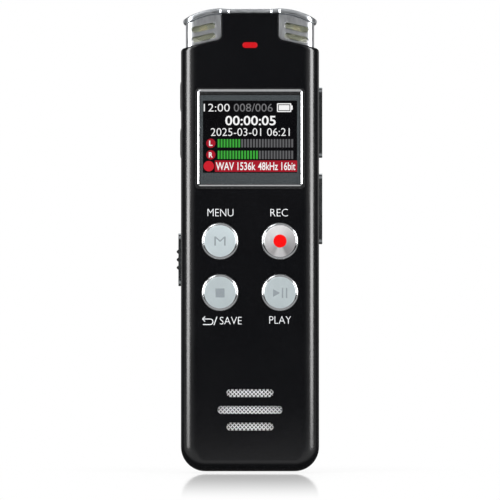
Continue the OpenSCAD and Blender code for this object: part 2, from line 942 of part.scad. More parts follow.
module speaker_basket() {
    seat = magnet_r + slide_gap;
    bore = speaker_r - speaker_rim;
    color("#55585b")
        turned(0, speaker_z)
            polygon([
                [speaker_r, inner_front],
                [speaker_r, inner_front + 0.9],
                [seat + 0.8, inner_front + 2],
                [seat + 0.8, inner_front + 2.6],
                [seat, inner_front + 2.6],
                [seat, inner_front + 1.7],
                [bore, inner_front + 0.7],
                [bore, inner_front]
            ]);
}

module speaker_cone() {
    bore = speaker_r - speaker_rim - slide_gap;
    color("#26272a")
        turned(0, speaker_z)
            polygon([
                [bore, inner_front + 0.3],
                [bore, inner_front + 0.6],
                [2.6, inner_front + 1.25],
                [0, inner_front + 0.9],
                [0, inner_front + 0.6],
                [2.6, inner_front + 0.95]
            ]);
}

module speaker_magnet() {
    color("#9a9c9e")
        translate([0, 0, speaker_z]) along_y(inner_front + 1.5, inner_front + 2.9) circle(magnet_r);
}

module speaker_mesh() {
    color("#b6babd")
        block(
            [-mesh_plate_w / 2, mesh_plate_w / 2],
            [front_y + grille_wall, front_y + grille_wall + mesh_t],
            [speaker_z - mesh_plate_h / 2, speaker_z + mesh_plate_h / 2]
        );
}

// ---- Sockets -------------------------------------------------------------------------------

module usb_shell() {
    color("#c0c3c6")
        difference() {
            along_z(usb_low, usb_low + usb_l) translate([0, usb_y]) polygon(stadium(usb_w, usb_t));
            along_z(-1, usb_low + usb_l - 0.8)
                translate([0, usb_y]) polygon(stadium(usb_w - 2 * usb_wall, usb_t - 2 * usb_wall));
        }
}

module usb_tongue() {
    color("#151515")
        block([-3.35, 3.35], [usb_y - 0.35, usb_y + 0.35], [usb_low + 1, usb_low + usb_l - 0.8]);
}

module jack_body() {
    color("#1c1c1e")
        difference() {
            union() {
                block([-jack_w / 2, jack_w / 2], [board_back, board_back + jack_t], [jack_low, jack_top]);
                along_z(jack_top - 0.5, jack_nose_top) translate([0, jack_y]) circle(jack_nose_r);
            }
            along_z(jack_nose_top - jack_bore_l, body_h + 1) translate([0, jack_y]) circle(jack_bore_r);
        }
}

// ---- Front buttons -------------------------------------------------------------------------

// A round button with a chamfered rim and a wide flange behind the front wall
module button_at(place) {
    r = button_d / 2;
    flange_y = inner_front + slide_gap;
    translate([place[0], 0, place[1]])
        rotate([-90, 0, 0])
            rotate_extrude()
                polygon([
                    [0, front_y - button_proud],
                    [r - rim, front_y - button_proud],
                    [r, front_y - button_proud + 0.3],
                    [r, flange_y],
                    [flange_r, flange_y],
                    [flange_r, flange_y + flange_t],
                    [0, flange_y + flange_t]
                ]);
}

module plunger_at(place) {
    flange_back = inner_front + slide_gap + flange_t;
    color("#303234")
        translate([place[0], 0, place[1]])
            along_y(flange_back, board_front - 0.3 - button_travel - fit) circle(front_plunger_r);
}

module silver_button(place) color("#c6cdd0") button_at(place);

// The record button has a shallow round seat for its red dot
module record_button() {
    color("#c4c3c5")
        difference() {
            button_at(button_places[3]);
            translate([button_places[3][0], 0, button_places[3][1]])
                along_y(front_y - button_proud - 1, front_y - button_proud + dot_t) circle(dot_r);
        }
}

module record_dot() {
    color("#e0121a")
        translate([button_places[3][0], 0, button_places[3][1]])
            along_y(front_y - button_proud, front_y - button_proud + dot_t) circle(dot_r);
}

// ---- Side keys -----------------------------------------------------------------------------

module rocker_at(z) {
    w = key_w / 2;
    bar = rocker_l / 2;
    color("#63666a")
        difference() {
            union() {
                translate([0, 0, z])
                    along_y(key_y - w, key_y + w)
                        polygon(concat(
                            [[rocker_flange_in, -bar], [half_w, -bar]],
                            arc(half_w + rocker_proud - 0.5, 0.5 - bar, 0.5, -90, 0),
                            arc(half_w + rocker_proud - 0.5, bar - 0.5, 0.5, 0, 90),
                            [[half_w, bar], [rocker_flange_in, bar]]
                        ));
                block(
                    [rocker_flange_in, rocker_flange_out],
                    [key_y - w, key_y + w],
                    [z - bar - rocker_flange_extra, z + bar + rocker_flange_extra]
                );
                block([hub_in, rocker_flange_in + 0.2], [key_y - w, key_y + w], [z - hub_half, z + hub_half]);
            }
            translate([hinge_x, 0, z]) along_y(key_y - key_w, key_y + key_w) circle(hinge_pin_r + pin_gap);
        }
}

module rocker_pins() {
    reach = key_w / 2 + rocker_window_gap + ear_t;
    color("#b9bcbe")
        for (z = rocker_zs)
            translate([hinge_x, 0, z]) along_y(key_y - reach, key_y + reach) circle(hinge_pin_r);
}

module rocker_plunger(z) {
    color("#303234")
        translate([0, key_y, z])
            along_x(plunger_tail, rocker_flange_in - pin_gap) circle(side_plunger_r);
}

// A domed key on the left side, with a flange that rests against the inside of the wall
module key_at(z) {
    w = key_w / 2;
    h = key_l / 2;
    dome = 0.15;
    color("#17181a")
        on_side(-1)
            translate([0, 0, z]) {
                along_y(key_y - w, key_y + w)
                    polygon([
                        [key_flange_in + 0.1, -h],
                        [half_w, -h],
                        [half_w + key_proud - dome, dome - h],
                        [half_w + key_proud, 3 * dome - h],
                        [half_w + key_proud, h - 3 * dome],
                        [half_w + key_proud - dome, h - dome],
                        [half_w, h],
                        [key_flange_in + 0.1, h]
                    ]);
                block(
                    [key_flange_in, key_flange_in + key_flange_t],
                    [key_y - w, key_y + w],
                    [-h - key_flange_extra, h + key_flange_extra]
                );
            }
}

module key_plunger(z) {
    color("#303234")
        on_side(-1) translate([0, key_y, z]) along_x(plunger_tail, key_flange_in) circle(side_plunger_r);
}

module slide_knob() {
    plate_in = half_w + slide_gap;
    plate_out = plate_in + knob_plate_t;
    bar = knob_l / 2;
    color("#6a6d70")
        on_side(-1) {
            translate([0, 0, knob_z])
                along_y(key_y - key_w / 2, key_y + key_w / 2) {
                    polygon([
                        [plate_in, -bar],
                        [plate_out - 0.25, -bar],
                        [plate_out, 0.25 - bar],
                        [plate_out, bar - 0.25],
                        [plate_out - 0.25, bar],
                        [plate_in, bar]
                    ]);
                    for (i = [-1:1])
                        translate([plate_out, i * knob_rib_pitch])
                            polygon([
                                [-0.1, -0.7],
                                [0, -0.6],
                                [knob_rib, -0.1],
                                [knob_rib, 0.1],
                                [0, 0.6],
                                [-0.1, 0.7]
                            ]);
                }
            block(
                [inner_half - slide_gap, plate_in],
                [key_y - stem_t / 2, key_y + stem_t / 2],
                [stem_low, stem_low + stem_l]
            );
        }
}

module slide_lever() {
    flange_out = inner_half - slide_gap;
    flange_in = flange_out - lever_t;
    color("#202224")
        on_side(-1) {
            block(
                [flange_in, flange_out],
                [key_y - 1.5, key_y + 1.5],
                [stem_low - 0.9, stem_low + stem_l + 0.9]
            );
            block(
                [board_half - 0.8, flange_in + 0.1],
                [key_y - nub_t / 2, key_y + nub_t / 2],
                [nub_mid - nub_l / 2, nub_mid + nub_l / 2]
            );
        }
}

// ---- Nodes ---------------------------------------------------------------------------------

front_shell();
rear_cover();
top_cap();
mic_housing(-1);  // mic_housing_left
mic_housing(1);  // mic_housing_right
mic_mesh(-1);  // mic_mesh_left
mic_mesh(1);  // mic_mesh_right
mic_boot(-1);  // mic_boot_left
mic_boot(1);  // mic_boot_right
mic_capsule(-1);  // mic_capsule_left
mic_capsule(1);  // mic_capsule_right
mic_leads();
screen_bezel();
screen_lens();
display_panel();
display_frame();
display_flex();
front_switches();
side_switches();
slide_switch_body();
rocker_pins();
main_board();
processor_chip();
memory_chip();
board_parts();
status_led();
light_pipe();
battery();
battery_leads();
speaker_basket();
speaker_cone();
speaker_magnet();
speaker_mesh();
speaker_leads();
usb_shell();
usb_tongue();
jack_body();
board_screws();
cover_screws();
silver_button(button_places[2]);  // menu_button
plunger_at(button_places[2]);  // menu_plunger
record_button();
record_dot();
plunger_at(button_places[3]);  // record_plunger
silver_button(button_places[0]);  // stop_button
plunger_at(button_places[0]);  // stop_plunger
silver_button(button_places[1]);  // play_button
plunger_at(button_places[1]);  // play_plunger
rocker_at(volume_z);  // volume_rocker
rocker_at(skip_z);  // skip_rocker
rocker_plunger(volume_z + rocker_throw);  // volume_up_plunger
rocker_plunger(volume_z - rocker_throw);  // volume_down_plunger
rocker_plunger(skip_z + rocker_throw);  // skip_forward_plunger
rocker_plunger(skip_z - rocker_throw);  // skip_back_plunger
key_at(mark_z);  // mark_button
key_plunger(mark_z);  // mark_plunger
key_at(repeat_z);  // repeat_button
key_plunger(repeat_z);  // repeat_plunger
slide_knob();
slide_lever();
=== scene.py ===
# %% [markdown]
# # A handheld voice recorder
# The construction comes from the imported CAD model, which is loaded as a fixed frame. This script
# gives it its looks: finely rounded shells, metal trim, woven meshes, a lit screen and procedural
# finishes. Lengths are written in millimetres and turned into metres as each mesh is made.

# %% Load the frame
import json
import math

import bmesh
import bpy
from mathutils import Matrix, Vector


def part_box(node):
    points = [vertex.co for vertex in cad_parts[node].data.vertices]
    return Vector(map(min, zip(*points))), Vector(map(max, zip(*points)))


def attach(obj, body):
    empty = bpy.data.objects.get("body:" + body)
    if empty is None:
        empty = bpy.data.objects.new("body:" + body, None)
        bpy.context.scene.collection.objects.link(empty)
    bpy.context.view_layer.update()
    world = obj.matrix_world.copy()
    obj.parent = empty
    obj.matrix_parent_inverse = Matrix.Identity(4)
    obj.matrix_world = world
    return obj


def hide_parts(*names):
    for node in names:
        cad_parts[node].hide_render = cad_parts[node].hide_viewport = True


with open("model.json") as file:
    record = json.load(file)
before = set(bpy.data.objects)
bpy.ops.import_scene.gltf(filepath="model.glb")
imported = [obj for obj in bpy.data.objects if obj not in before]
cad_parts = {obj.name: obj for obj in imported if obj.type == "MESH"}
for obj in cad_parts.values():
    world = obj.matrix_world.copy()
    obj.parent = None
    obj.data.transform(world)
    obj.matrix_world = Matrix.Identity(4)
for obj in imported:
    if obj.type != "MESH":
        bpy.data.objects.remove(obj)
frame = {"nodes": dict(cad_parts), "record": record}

MM = 0.001
scene = bpy.context.scene
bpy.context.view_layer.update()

# %% [markdown]
# ## Measuring the frame
# Every size is taken from a CAD node's box where it can be, so a piece made here lands exactly
# where the construction holds it. The front face looks along -Y and +Z is up.

# %% Read the main sizes
def span(node):
    """Lowest and highest corner of a CAD node, in millimetres."""
    low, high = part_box(node)
    return Vector(low) / MM, Vector(high) / MM


def middle(node):
    low, high = span(node)
    return (low + high) / 2


shell_low, shell_high = span("front_shell")
cover_low, cover_high = span("rear_cover")
HALF_W = shell_high.x
FRONT, BACK, PARTING = shell_low.y, cover_high.y, cover_low.y
NECK_TOP = shell_high.z
TOTAL_H = span("top_cap")[1].z
WALL = 1.2
CORNER_R = 5.3
EDGE_DEPTH = 2.5
EDGE_WIDTH = 3.6
NECK_HALF = 6.2
NECK_FILLET = 1.2
SHOULDER_R = 0.9
SHOULDER_Z = NECK_TOP - 5.6
SLOPE = math.radians(13)
KEY_Y = middle("volume_rocker").y
print(f"body {2 * HALF_W:.1f} wide, {BACK - FRONT:.1f} deep, {TOTAL_H:.1f} high, keys at y {KEY_Y:.2f}")

# %% [markdown]
# ## Mesh helpers
# Most pieces are lofts: a closed outline is repeated at several levels, a little smaller or larger
# each time, and neighbouring outlines are joined by quads. That gives true rounded edges without a
# bevel that has to be tuned. Holes are cut afterwards with tools whose mouths flare, so that every
# hole gets its own small chamfer.

# %% Outlines
def arc(cx, cz, radius, start, end, steps=8):
    """Points along an arc, angles in degrees."""
    angles = [math.radians(start + (end - start) * i / steps) for i in range(steps + 1)]
    return [(cx + radius * math.cos(a), cz + radius * math.sin(a)) for a in angles]


def round_rect(cx, cz, width, height, radius, steps=8):
    """Rounded rectangle, anticlockwise; a radius of half the height gives a slot."""
    x, z = width / 2 - radius, height / 2 - radius
    corners = [(x, -z, -90), (x, z, 0), (-x, z, 90), (-x, -z, 180)]
    return [p for px, pz, a in corners for p in arc(cx + px, cz + pz, radius, a, a + 90, steps)]


def circle(cx, cz, radius, steps=64):
    return arc(cx, cz, radius, 0, 360 - 360 / steps, steps - 1)


def mirrored(path):
    """A path up the right half, closed by its mirror image."""
    return path + [(-x, z) for x, z in reversed(path)]


# %% Solids
PLACE = {
    "x": lambda u, v, level: (level, u, v),
    "y": lambda u, v, level: (u, level, v),
    "z": lambda u, v, level: (u, v, level),
}


def make(name, verts, faces, material):
    mesh = bpy.data.meshes.new(name)
    mesh.from_pydata([Vector(v) * MM for v in verts], [], faces)
    mesh.materials.append(material)
    piece = bpy.data.objects.new(name, mesh)
    scene.collection.objects.link(piece)
    return piece


def heal(piece):
    """Merge doubled points and turn every face outwards."""
    work = bmesh.new()
    work.from_mesh(piece.data)
    bmesh.ops.remove_doubles(work, verts=work.verts, dist=1e-8)
    bmesh.ops.recalc_face_normals(work, faces=work.faces)
    work.to_mesh(piece.data)
    work.free()
    return piece


def loft(name, levels, axis="y", material=None, ends=None):
    """A closed solid through (level, outline) pairs whose outlines have equally many points.

    ends lists the faces that close an end, as indices into one outline; the plain way is one face.
    """
    count = len(levels[0][1])
    verts = [PLACE[axis](u, v, level) for level, outline in levels for u, v in outline]
    last = len(verts) - count
    faces = [tuple(start + i for i in face) for start in (0, last) for face in ends or [range(count)]]
    for ring in range(len(levels) - 1):
        for i in range(count):
            a, b = ring * count + i, ring * count + (i + 1) % count
            faces.append((a, b, b + count, a + count))
    return heal(make(name, verts, faces, material))


def bake(piece):
    """Turn the piece's modifiers into plain mesh."""
    graph = bpy.context.evaluated_depsgraph_get()
    mesh = bpy.data.meshes.new_from_object(
        piece.evaluated_get(graph), preserve_all_data_layers=True, depsgraph=graph
    )
    piece.modifiers.clear()
    old, piece.data = piece.data, mesh
    bpy.data.meshes.remove(old)
    mesh.name = piece.name
    return piece


def join(name, parts):
    """One object from several, which are used up."""
    work = bmesh.new()
    for part in parts:
        work.from_mesh(part.data)
    mesh = bpy.data.meshes.new(name)
    work.to_mesh(mesh)
    work.free()
    for material in parts[0].data.materials:
        mesh.materials.append(material)
    for part in parts:
        bpy.data.objects.remove(part)
    piece = bpy.data.objects.new(name, mesh)
    scene.collection.objects.link(piece)
    return piece


def cut(piece, tools):
    """Take every tool away from the piece."""
    tool = join("tool", tools)
    modifier = piece.modifiers.new("Cut", "BOOLEAN")
    modifier.operation = "DIFFERENCE"
    modifier.solver = "EXACT"
    modifier.object = tool
    bake(piece)
    bpy.data.objects.remove(tool)
    return piece


def shade(piece, angle=35):
    """Smooth shading that stays crisp at edges and even across large flats."""
    piece.data.shade_smooth()
    piece.data.set_sharp_from_angle(angle=math.radians(angle))
    even = piece.modifiers.new("Even shading", "WEIGHTED_NORMAL")
    even.keep_sharp = True
    return bake(piece)


def settle(piece, body, slot, *replaced):
    """Give a finished piece its body and hide the CAD nodes it stands for. The finish slot is not used."""
    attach(piece, body)
    if replaced:
        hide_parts(*replaced)
    print(f"{piece.name}: {len(piece.data.polygons)} faces on {body}")


# %% [markdown]
# ## Camera and studio
# The recorder stands upright and is seen square from the front through a long lens, so that its
# sides stay parallel. Two tall strip lamps stand ahead of it, one on each side: they draw the long
# soft lines down its rounded edges. The space straight ahead stays dark, so that the flat black
# front doesn't turn grey, and a bright zone around it fills the satin metal.

# %% Camera
CAMERA_DISTANCE = 1.3
FIELD = 1.0786 * TOTAL_H * MM
SENSOR = 36.0
camera_data = bpy.data.cameras.new("camera")
camera_data.sensor_width = SENSOR
camera_data.lens = SENSOR * (CAMERA_DISTANCE + FRONT * MM) / FIELD
camera = bpy.data.objects.new("camera", camera_data)
camera.location = (0, -CAMERA_DISTANCE, 0.4782 * TOTAL_H * MM)
camera.rotation_euler = (math.radians(90), 0, 0)
scene.collection.objects.link(camera)
scene.camera = camera
print(f"lens {camera_data.lens:.0f} mm, field {FIELD / MM:.1f} mm")

# %% Colour and light levels
scene.view_settings.view_transform = "Standard"


def tone(red, green, blue):
    """A display colour, 0 to 255, as the linear colour that shows as it."""
    steps = [c / 255 for c in (red, green, blue)]
    return (*[s / 12.92 if s < 0.04045 else ((s + 0.055) / 1.055) ** 2.4 for s in steps], 1.0)


def add(tree, kind, **values):
    """A node with its properties set."""
    node = tree.nodes.new(kind)
    for key, value in values.items():
        setattr(node, key, value)
    return node


def math_node(tree, operation, a, b=None, c=None):
    """A Math node whose inputs are numbers or other sockets; returns its output."""
    node = add(tree, "ShaderNodeMath", operation=operation)
    for socket, value in zip(node.inputs, (a, b, c)):
        if value is None:
            continue
        if isinstance(value, (int, float)):
            socket.default_value = value
        else:
            tree.links.new(value, socket)
    return node.outputs[0]


def ramp(tree, value, low, high, start=0.0, end=1.0):
    """Map a value between two limits to another range, eased at both ends."""
    node = add(tree, "ShaderNodeMapRange", interpolation_type="SMOOTHSTEP")
    tree.links.new(value, node.inputs["Value"])
    for name, number in (("From Min", low), ("From Max", high), ("To Min", start), ("To Max", end)):
        node.inputs[name].default_value = number
    return node.outputs["Result"]


# %% World
world = bpy.data.worlds.new("studio")
scene.world = world
world.use_nodes = True
sky = world.node_tree
sky.nodes.clear()
coords = add(sky, "ShaderNodeTexCoord")
split = add(sky, "ShaderNodeSeparateXYZ")
sky.links.new(coords.outputs["Generated"], split.inputs[0])
ahead = math_node(sky, "ABSOLUTE", split.outputs["Y"])
rays = add(sky, "ShaderNodeLightPath")
AMBIENT = 0.42
SIDE_GLOW, RING_GLOW, TOP_GLOW, REAR_DIMMING = 0.05, 0.62, 0.25, 0.85
ring = ramp(sky, ahead, 0.25, 0.5, SIDE_GLOW, RING_GLOW)
ring = math_node(sky, "MULTIPLY", ring, ramp(sky, ahead, 0.9, 0.975, 1.0, 0.05))
ring = math_node(sky, "MAXIMUM", ring, ramp(sky, split.outputs["Z"], 0.8, 0.95, 0.0, TOP_GLOW))
behind = ramp(sky, split.outputs["Y"], -0.3, 0.15)
above = ramp(sky, split.outputs["Z"], 0.12, 0.4)
dimmed = math_node(sky, "MULTIPLY", math_node(sky, "MULTIPLY", behind, above), REAR_DIMMING)
ring = math_node(sky, "MULTIPLY", ring, math_node(sky, "SUBTRACT", 1.0, dimmed))
ring = math_node(sky, "MAXIMUM", ring, ramp(sky, split.outputs["Y"], 0.985, 0.994, 0.0, 1.0))
level = math_node(sky, "MULTIPLY", rays.outputs["Is Glossy Ray"], ring)
level = math_node(sky, "ADD", level, rays.outputs["Is Camera Ray"])
level = math_node(sky, "ADD", level, rays.outputs["Is Transmission Ray"])
level = math_node(sky, "MULTIPLY_ADD", rays.outputs["Is Diffuse Ray"], AMBIENT, level)
glow = add(sky, "ShaderNodeBackground")
glow.inputs["Color"].default_value = (1, 1, 1, 1)
sky.links.new(level, glow.inputs["Strength"])
sky_out = add(sky, "ShaderNodeOutputWorld")
sky.links.new(glow.outputs[0], sky_out.inputs[0])
print("world: ambient", AMBIENT)

# %% Lamps
def lamp(name, azimuth, elevation, distance, width, height, radiance):
    """A soft area lamp aimed at the middle of the recorder; azimuth 0 is straight ahead of it."""
    data = bpy.data.lights.new(name, "AREA")
    data.shape = "RECTANGLE"
    data.size, data.size_y = width, height
    data.energy = radiance * math.pi * width * height
    light = bpy.data.objects.new(name, data)
    turn, lift = math.radians(azimuth), math.radians(elevation)
    way = Vector((math.sin(turn) * math.cos(lift), -math.cos(turn) * math.cos(lift), math.sin(lift)))
    target = Vector((0, 0, TOTAL_H / 2 * MM))
    light.location = target + way * distance
    light.rotation_euler = (-way).to_track_quat("-Z", "Y").to_euler()
    scene.collection.objects.link(light)


STRIP_AZIMUTH = 51
for side in (-1, 1):
    lamp(f"strip_{side}", side * STRIP_AZIMUTH, 8, 0.45, 0.14, 0.36, 14)
lamp("upper_softbox", -32, 44, 0.5, 0.16, 0.12, 7)
lamp("rear_softbox", 180, 52, 0.6, 0.4, 0.3, 3)

# %% [markdown]
# ## Floor
# The floor is plain white for the camera and a little glossy: it mirrors the foot of the recorder
# and the mirror image fades out with distance, as on a sheet of acrylic. Diffuse rays meet an
# ordinary pale floor. Reflections on the recorder meet a painted pool of light instead, bright in
# front of it and fading with distance, with a painted contact shadow just in front of its base.

# %% Make the floor
FLOOR_SIZE = 3.0
FLOOR_DROP = 0.45
bpy.ops.mesh.primitive_plane_add(size=2 * FLOOR_SIZE, location=(0, 0, -FLOOR_DROP * MM))
floor = bpy.context.object
floor.name = "floor"
floor_mat = bpy.data.materials.new("floor")
floor_mat.use_nodes = True
tree = floor_mat.node_tree
tree.nodes.clear()
place = add(tree, "ShaderNodeTexCoord")
split = add(tree, "ShaderNodeSeparateXYZ")
tree.links.new(place.outputs["Object"], split.inputs[0])
front_of = math_node(tree, "MULTIPLY", split.outputs["Y"], -1.0)
length = add(tree, "ShaderNodeVectorMath", operation="LENGTH")
tree.links.new(place.outputs["Object"], length.inputs[0])


def two_way_mix(factor, first, second):
    """Mix two shaders by a socket."""
    node = add(tree, "ShaderNodeMixShader")
    for socket, value in zip(node.inputs, (factor, first, second)):
        tree.links.new(value, socket)
    return node.outputs[0]


def emission(strength):
    node = add(tree, "ShaderNodeEmission")
    if strength is not None:
        tree.links.new(strength, node.inputs["Strength"])
    return node.outputs[0]


# %% What the camera sees of it
MIRROR_SHARE, MIRROR_START, MIRROR_END = 0.52, 0.015, 0.145
SHADOW_SHARE, SHADOW_REACH = 0.22, 0.06
fade = ramp(tree, length.outputs["Value"], MIRROR_START, MIRROR_END, MIRROR_SHARE, 0.0)
pale = add(tree, "ShaderNodeBsdfDiffuse")
pale.inputs["Color"].default_value = (0.82, 0.82, 0.82, 1)
mirror = add(tree, "ShaderNodeBsdfGlossy")
mirror.inputs["Color"].default_value = (1, 1, 1, 1)
mirror.inputs["Roughness"].default_value = 0.06
shadow = ramp(tree, length.outputs["Value"], 0.01, SHADOW_REACH, SHADOW_SHARE, 0.0)
base = two_way_mix(shadow, emission(None), pale.outputs[0])
seen = two_way_mix(fade, base, mirror.outputs[0])

# %% What reflections see of it
POOL_NEAR, POOL_FAR, POOL_LEVEL, FAR_LEVEL = 0.075, 0.15, 0.65, 0.02
# Painted pool of light and painted contact shadow: for glossy rays only, the floor gives off light. It is
# strongest up to 75 mm in front, fades out by 150 mm, and is much darker in the first few millimetres before
# the base.
painted_pool_and_shadow = ramp(tree, front_of, POOL_NEAR, POOL_FAR, POOL_LEVEL, FAR_LEVEL)
painted_pool_and_shadow = math_node(tree, "MULTIPLY", painted_pool_and_shadow, ramp(tree, front_of, 0.0065, 0.011, 0.1, 1.0))
rays = add(tree, "ShaderNodeLightPath")
indirect = two_way_mix(rays.outputs["Is Glossy Ray"], pale.outputs[0], emission(painted_pool_and_shadow))
shown = math_node(tree, "ADD", rays.outputs["Is Camera Ray"], rays.outputs["Is Transmission Ray"])
final = two_way_mix(shown, indirect, seen)
out = add(tree, "ShaderNodeOutputMaterial")
tree.links.new(final, out.inputs[0])
floor.data.materials.append(floor_mat)

# %% [markdown]
# ## Shared surface effects
# Two effects appear on nearly every finish, so each is a node group that is built once. "Grain" is
# the fine structure of a surface: an even pebble on moulded plastic, or long scratches when it is
# stretched along one direction, as on brushed metal. "Handling" is the large, faint unevenness that
# fingers and cleaning leave. Both put out plain masks, and each material decides what they change.

# %% Grain and handling groups
def new_group(name, inputs, outputs):
    group = bpy.data.node_groups.new(name, "ShaderNodeTree")
    for label, kind, value in inputs:
        socket = group.interface.new_socket(label, in_out="INPUT", socket_type=kind)
        if value is not None:
            socket.default_value = value
    for label in outputs:
        group.interface.new_socket(label, in_out="OUTPUT", socket_type="NodeSocketFloat")
    return group, add(group, "NodeGroupInput"), add(group, "NodeGroupOutput")


def noise_mask(group, source, scale, detail, low, high):
    """Noise over a vector socket, spread to the full 0 to 1 range."""
    noise = add(group, "ShaderNodeTexNoise")
    group.links.new(source, noise.inputs["Vector"])
    noise.inputs["Scale"].default_value = scale
    noise.inputs["Detail"].default_value = detail
    return ramp(group, noise.outputs["Fac"], low, high)


grain_group, given, result = new_group(
    "grain",
    [("Vector", "NodeSocketVector", None), ("Per metre", "NodeSocketVector", (6000, 6000, 6000))],
    ["Mask"],
)
scaled = add(grain_group, "ShaderNodeVectorMath", operation="MULTIPLY")
grain_group.links.new(given.outputs["Vector"], scaled.inputs[0])
grain_group.links.new(given.outputs["Per metre"], scaled.inputs[1])
grain_group.links.new(noise_mask(grain_group, scaled.outputs[0], 1.0, 3.0, 0.3, 0.7), result.inputs["Mask"])

handling_group, given, result = new_group(
    "handling",
    [("Vector", "NodeSocketVector", None), ("Per metre", "NodeSocketFloat", 90.0)],
    ["Mask", "Specks"],
)
scaled = add(handling_group, "ShaderNodeVectorMath", operation="SCALE")
handling_group.links.new(given.outputs["Vector"], scaled.inputs[0])
handling_group.links.new(given.outputs["Per metre"], scaled.inputs["Scale"])
mask = noise_mask(handling_group, scaled.outputs[0], 1.0, 4.0, 0.35, 0.7)
specks = noise_mask(handling_group, scaled.outputs[0], 26.0, 1.0, 0.72, 0.8)
handling_group.links.new(mask, result.inputs["Mask"])
handling_group.links.new(specks, result.inputs["Specks"])
print("groups:", [g.name for g in bpy.data.node_groups])

# %% [markdown]
# ## Finishes
# One function wires a finish from those groups: the grain moves colour and roughness between two
# values and gives the bump, and handling adds patches of a slightly different gloss. A finish is
# then one line of values. Steady values such as metalness sit on the shader's own sockets.

# %% A function for finishes
def mix_colour(tree, factor, first, second):
    node = add(tree, "ShaderNodeMix", data_type="RGBA")
    for socket in node.inputs:
        if socket.name == "A" and socket.type == "RGBA":
            socket.default_value = first
        if socket.name == "B" and socket.type == "RGBA":
            socket.default_value = second
    tree.links.new(factor, node.inputs[0])
    return [o for o in node.outputs if o.type == "RGBA"][0]


def finish(name, colour, second, rough, metallic=0.0, grain=(6, 6, 6), bump=0.0, patches=0.04,
           patch_size=11.0, **steady):
    """A procedural finish. grain is lines per millimetre along each axis, rough a low and high value."""
    material = bpy.data.materials.new(name)
    material.use_nodes = True
    tree = material.node_tree
    shader = tree.nodes["Principled BSDF"]
    coords = add(tree, "ShaderNodeTexCoord")
    fine = add(tree, "ShaderNodeGroup", node_tree=grain_group)
    fine.inputs["Per metre"].default_value = [g / MM for g in grain]
    coarse = add(tree, "ShaderNodeGroup", node_tree=handling_group)
    coarse.inputs["Per metre"].default_value = 1 / (patch_size * MM)
    for node in (fine, coarse):
        tree.links.new(coords.outputs["Object"], node.inputs["Vector"])
    colour_out = mix_colour(tree, fine.outputs["Mask"], colour, second)
    tree.links.new(colour_out, shader.inputs["Base Color"])
    gloss = ramp(tree, fine.outputs["Mask"], 0, 1, *rough)
    gloss = math_node(tree, "MULTIPLY_ADD", coarse.outputs["Mask"], patches, gloss)
    tree.links.new(gloss, shader.inputs["Roughness"])
    if bump:
        relief = add(tree, "ShaderNodeBump")
        relief.inputs["Strength"].default_value = 1.0
        relief.inputs["Distance"].default_value = bump * MM
        tree.links.new(fine.outputs["Mask"], relief.inputs["Height"])
        tree.links.new(relief.outputs["Normal"], shader.inputs["Normal"])
    shader.inputs["Metallic"].default_value = metallic
    for socket, value in steady.items():
        shader.inputs[socket.replace("_", " ")].default_value = value
    return material


# %% Casing and trim finishes
FINISH = {}
FINISH["shell_black"] = finish(
    "shell_black", tone(5, 5, 7), tone(9, 10, 12), (0.17, 0.21), grain=(7, 7, 7), bump=0.001,
    patches=0.03)
FINISH["cap_metal"] = finish(
    "cap_metal", tone(176, 180, 184), tone(200, 203, 206), (0.26, 0.36), 1.0, grain=(0.6, 9, 14), bump=0.001)
FINISH["mic_metal"] = finish(
    "mic_metal", tone(196, 198, 202), tone(214, 216, 218), (0.3, 0.4), 1.0, grain=(9, 9, 0.7), bump=0.001)
FINISH["mic_mesh_metal"] = finish(
    "mic_mesh_metal", tone(170, 172, 150), tone(196, 198, 176), (0.34, 0.5), 1.0, grain=(9, 9, 9))
FINISH["speaker_mesh_metal"] = finish(
    "speaker_mesh_metal", tone(226, 229, 231), tone(242, 244, 246), (0.3, 0.45), 0.85, grain=(9, 9, 9))
FINISH["bezel_chrome"] = finish(
    "bezel_chrome", tone(214, 216, 218), tone(226, 227, 229), (0.1, 0.16), 1.0, grain=(3, 3, 3), patches=0.02)
FINISH["screen_window"] = finish(
    "screen_window", tone(44, 48, 50), tone(62, 66, 68), (0.08, 0.12), grain=(4, 4, 4), patches=0.03,
    Coat_Weight=0.5, Coat_Roughness=0.04)
FINISH["button_silver"] = finish(
    "button_silver", tone(203, 215, 219), tone(213, 224, 227), (0.42, 0.5), 0.85,
    grain=(10, 10, 10), bump=0.001)
# A darker copy of the button silver: painted shade for the stop and play buttons, which sit lower and get
# less light from above.
FINISH["button_grey"] = finish(
    "button_grey", tone(190, 201, 204), tone(201, 211, 214), (0.42, 0.5), 0.85,
    grain=(10, 10, 10), bump=0.001)
FINISH["rim_polish"] = finish(
    "rim_polish", tone(170, 172, 174), tone(182, 184, 186), (0.12, 0.18), 1.0, grain=(4, 4, 4))
FINISH["dot_red"] = finish(
    "dot_red", tone(190, 1, 1), tone(202, 3, 2), (0.3, 0.38), grain=(6, 6, 6), bump=0.001,
    Specular_IOR_Level=0.15)
FINISH["rocker_metal"] = finish(
    "rocker_metal", tone(150, 154, 156), tone(164, 168, 170), (0.2, 0.25), 1.0, grain=(9, 9, 0.8), bump=0.001)
FINISH["knob_metal"] = finish(
    "knob_metal", tone(150, 154, 156), tone(164, 168, 170), (0.2, 0.25), 1.0, grain=(9, 9, 0.8), bump=0.001)
FINISH["key_black"] = finish(
    "key_black", tone(14, 15, 16), tone(20, 21, 22), (0.4, 0.5), grain=(8, 8, 8), bump=0.003)
FINISH["print_white"] = finish(
    "print_white", tone(196, 198, 200), tone(210, 212, 214), (0.5, 0.6), grain=(8, 8, 8))
print(len(FINISH), "trim finishes")
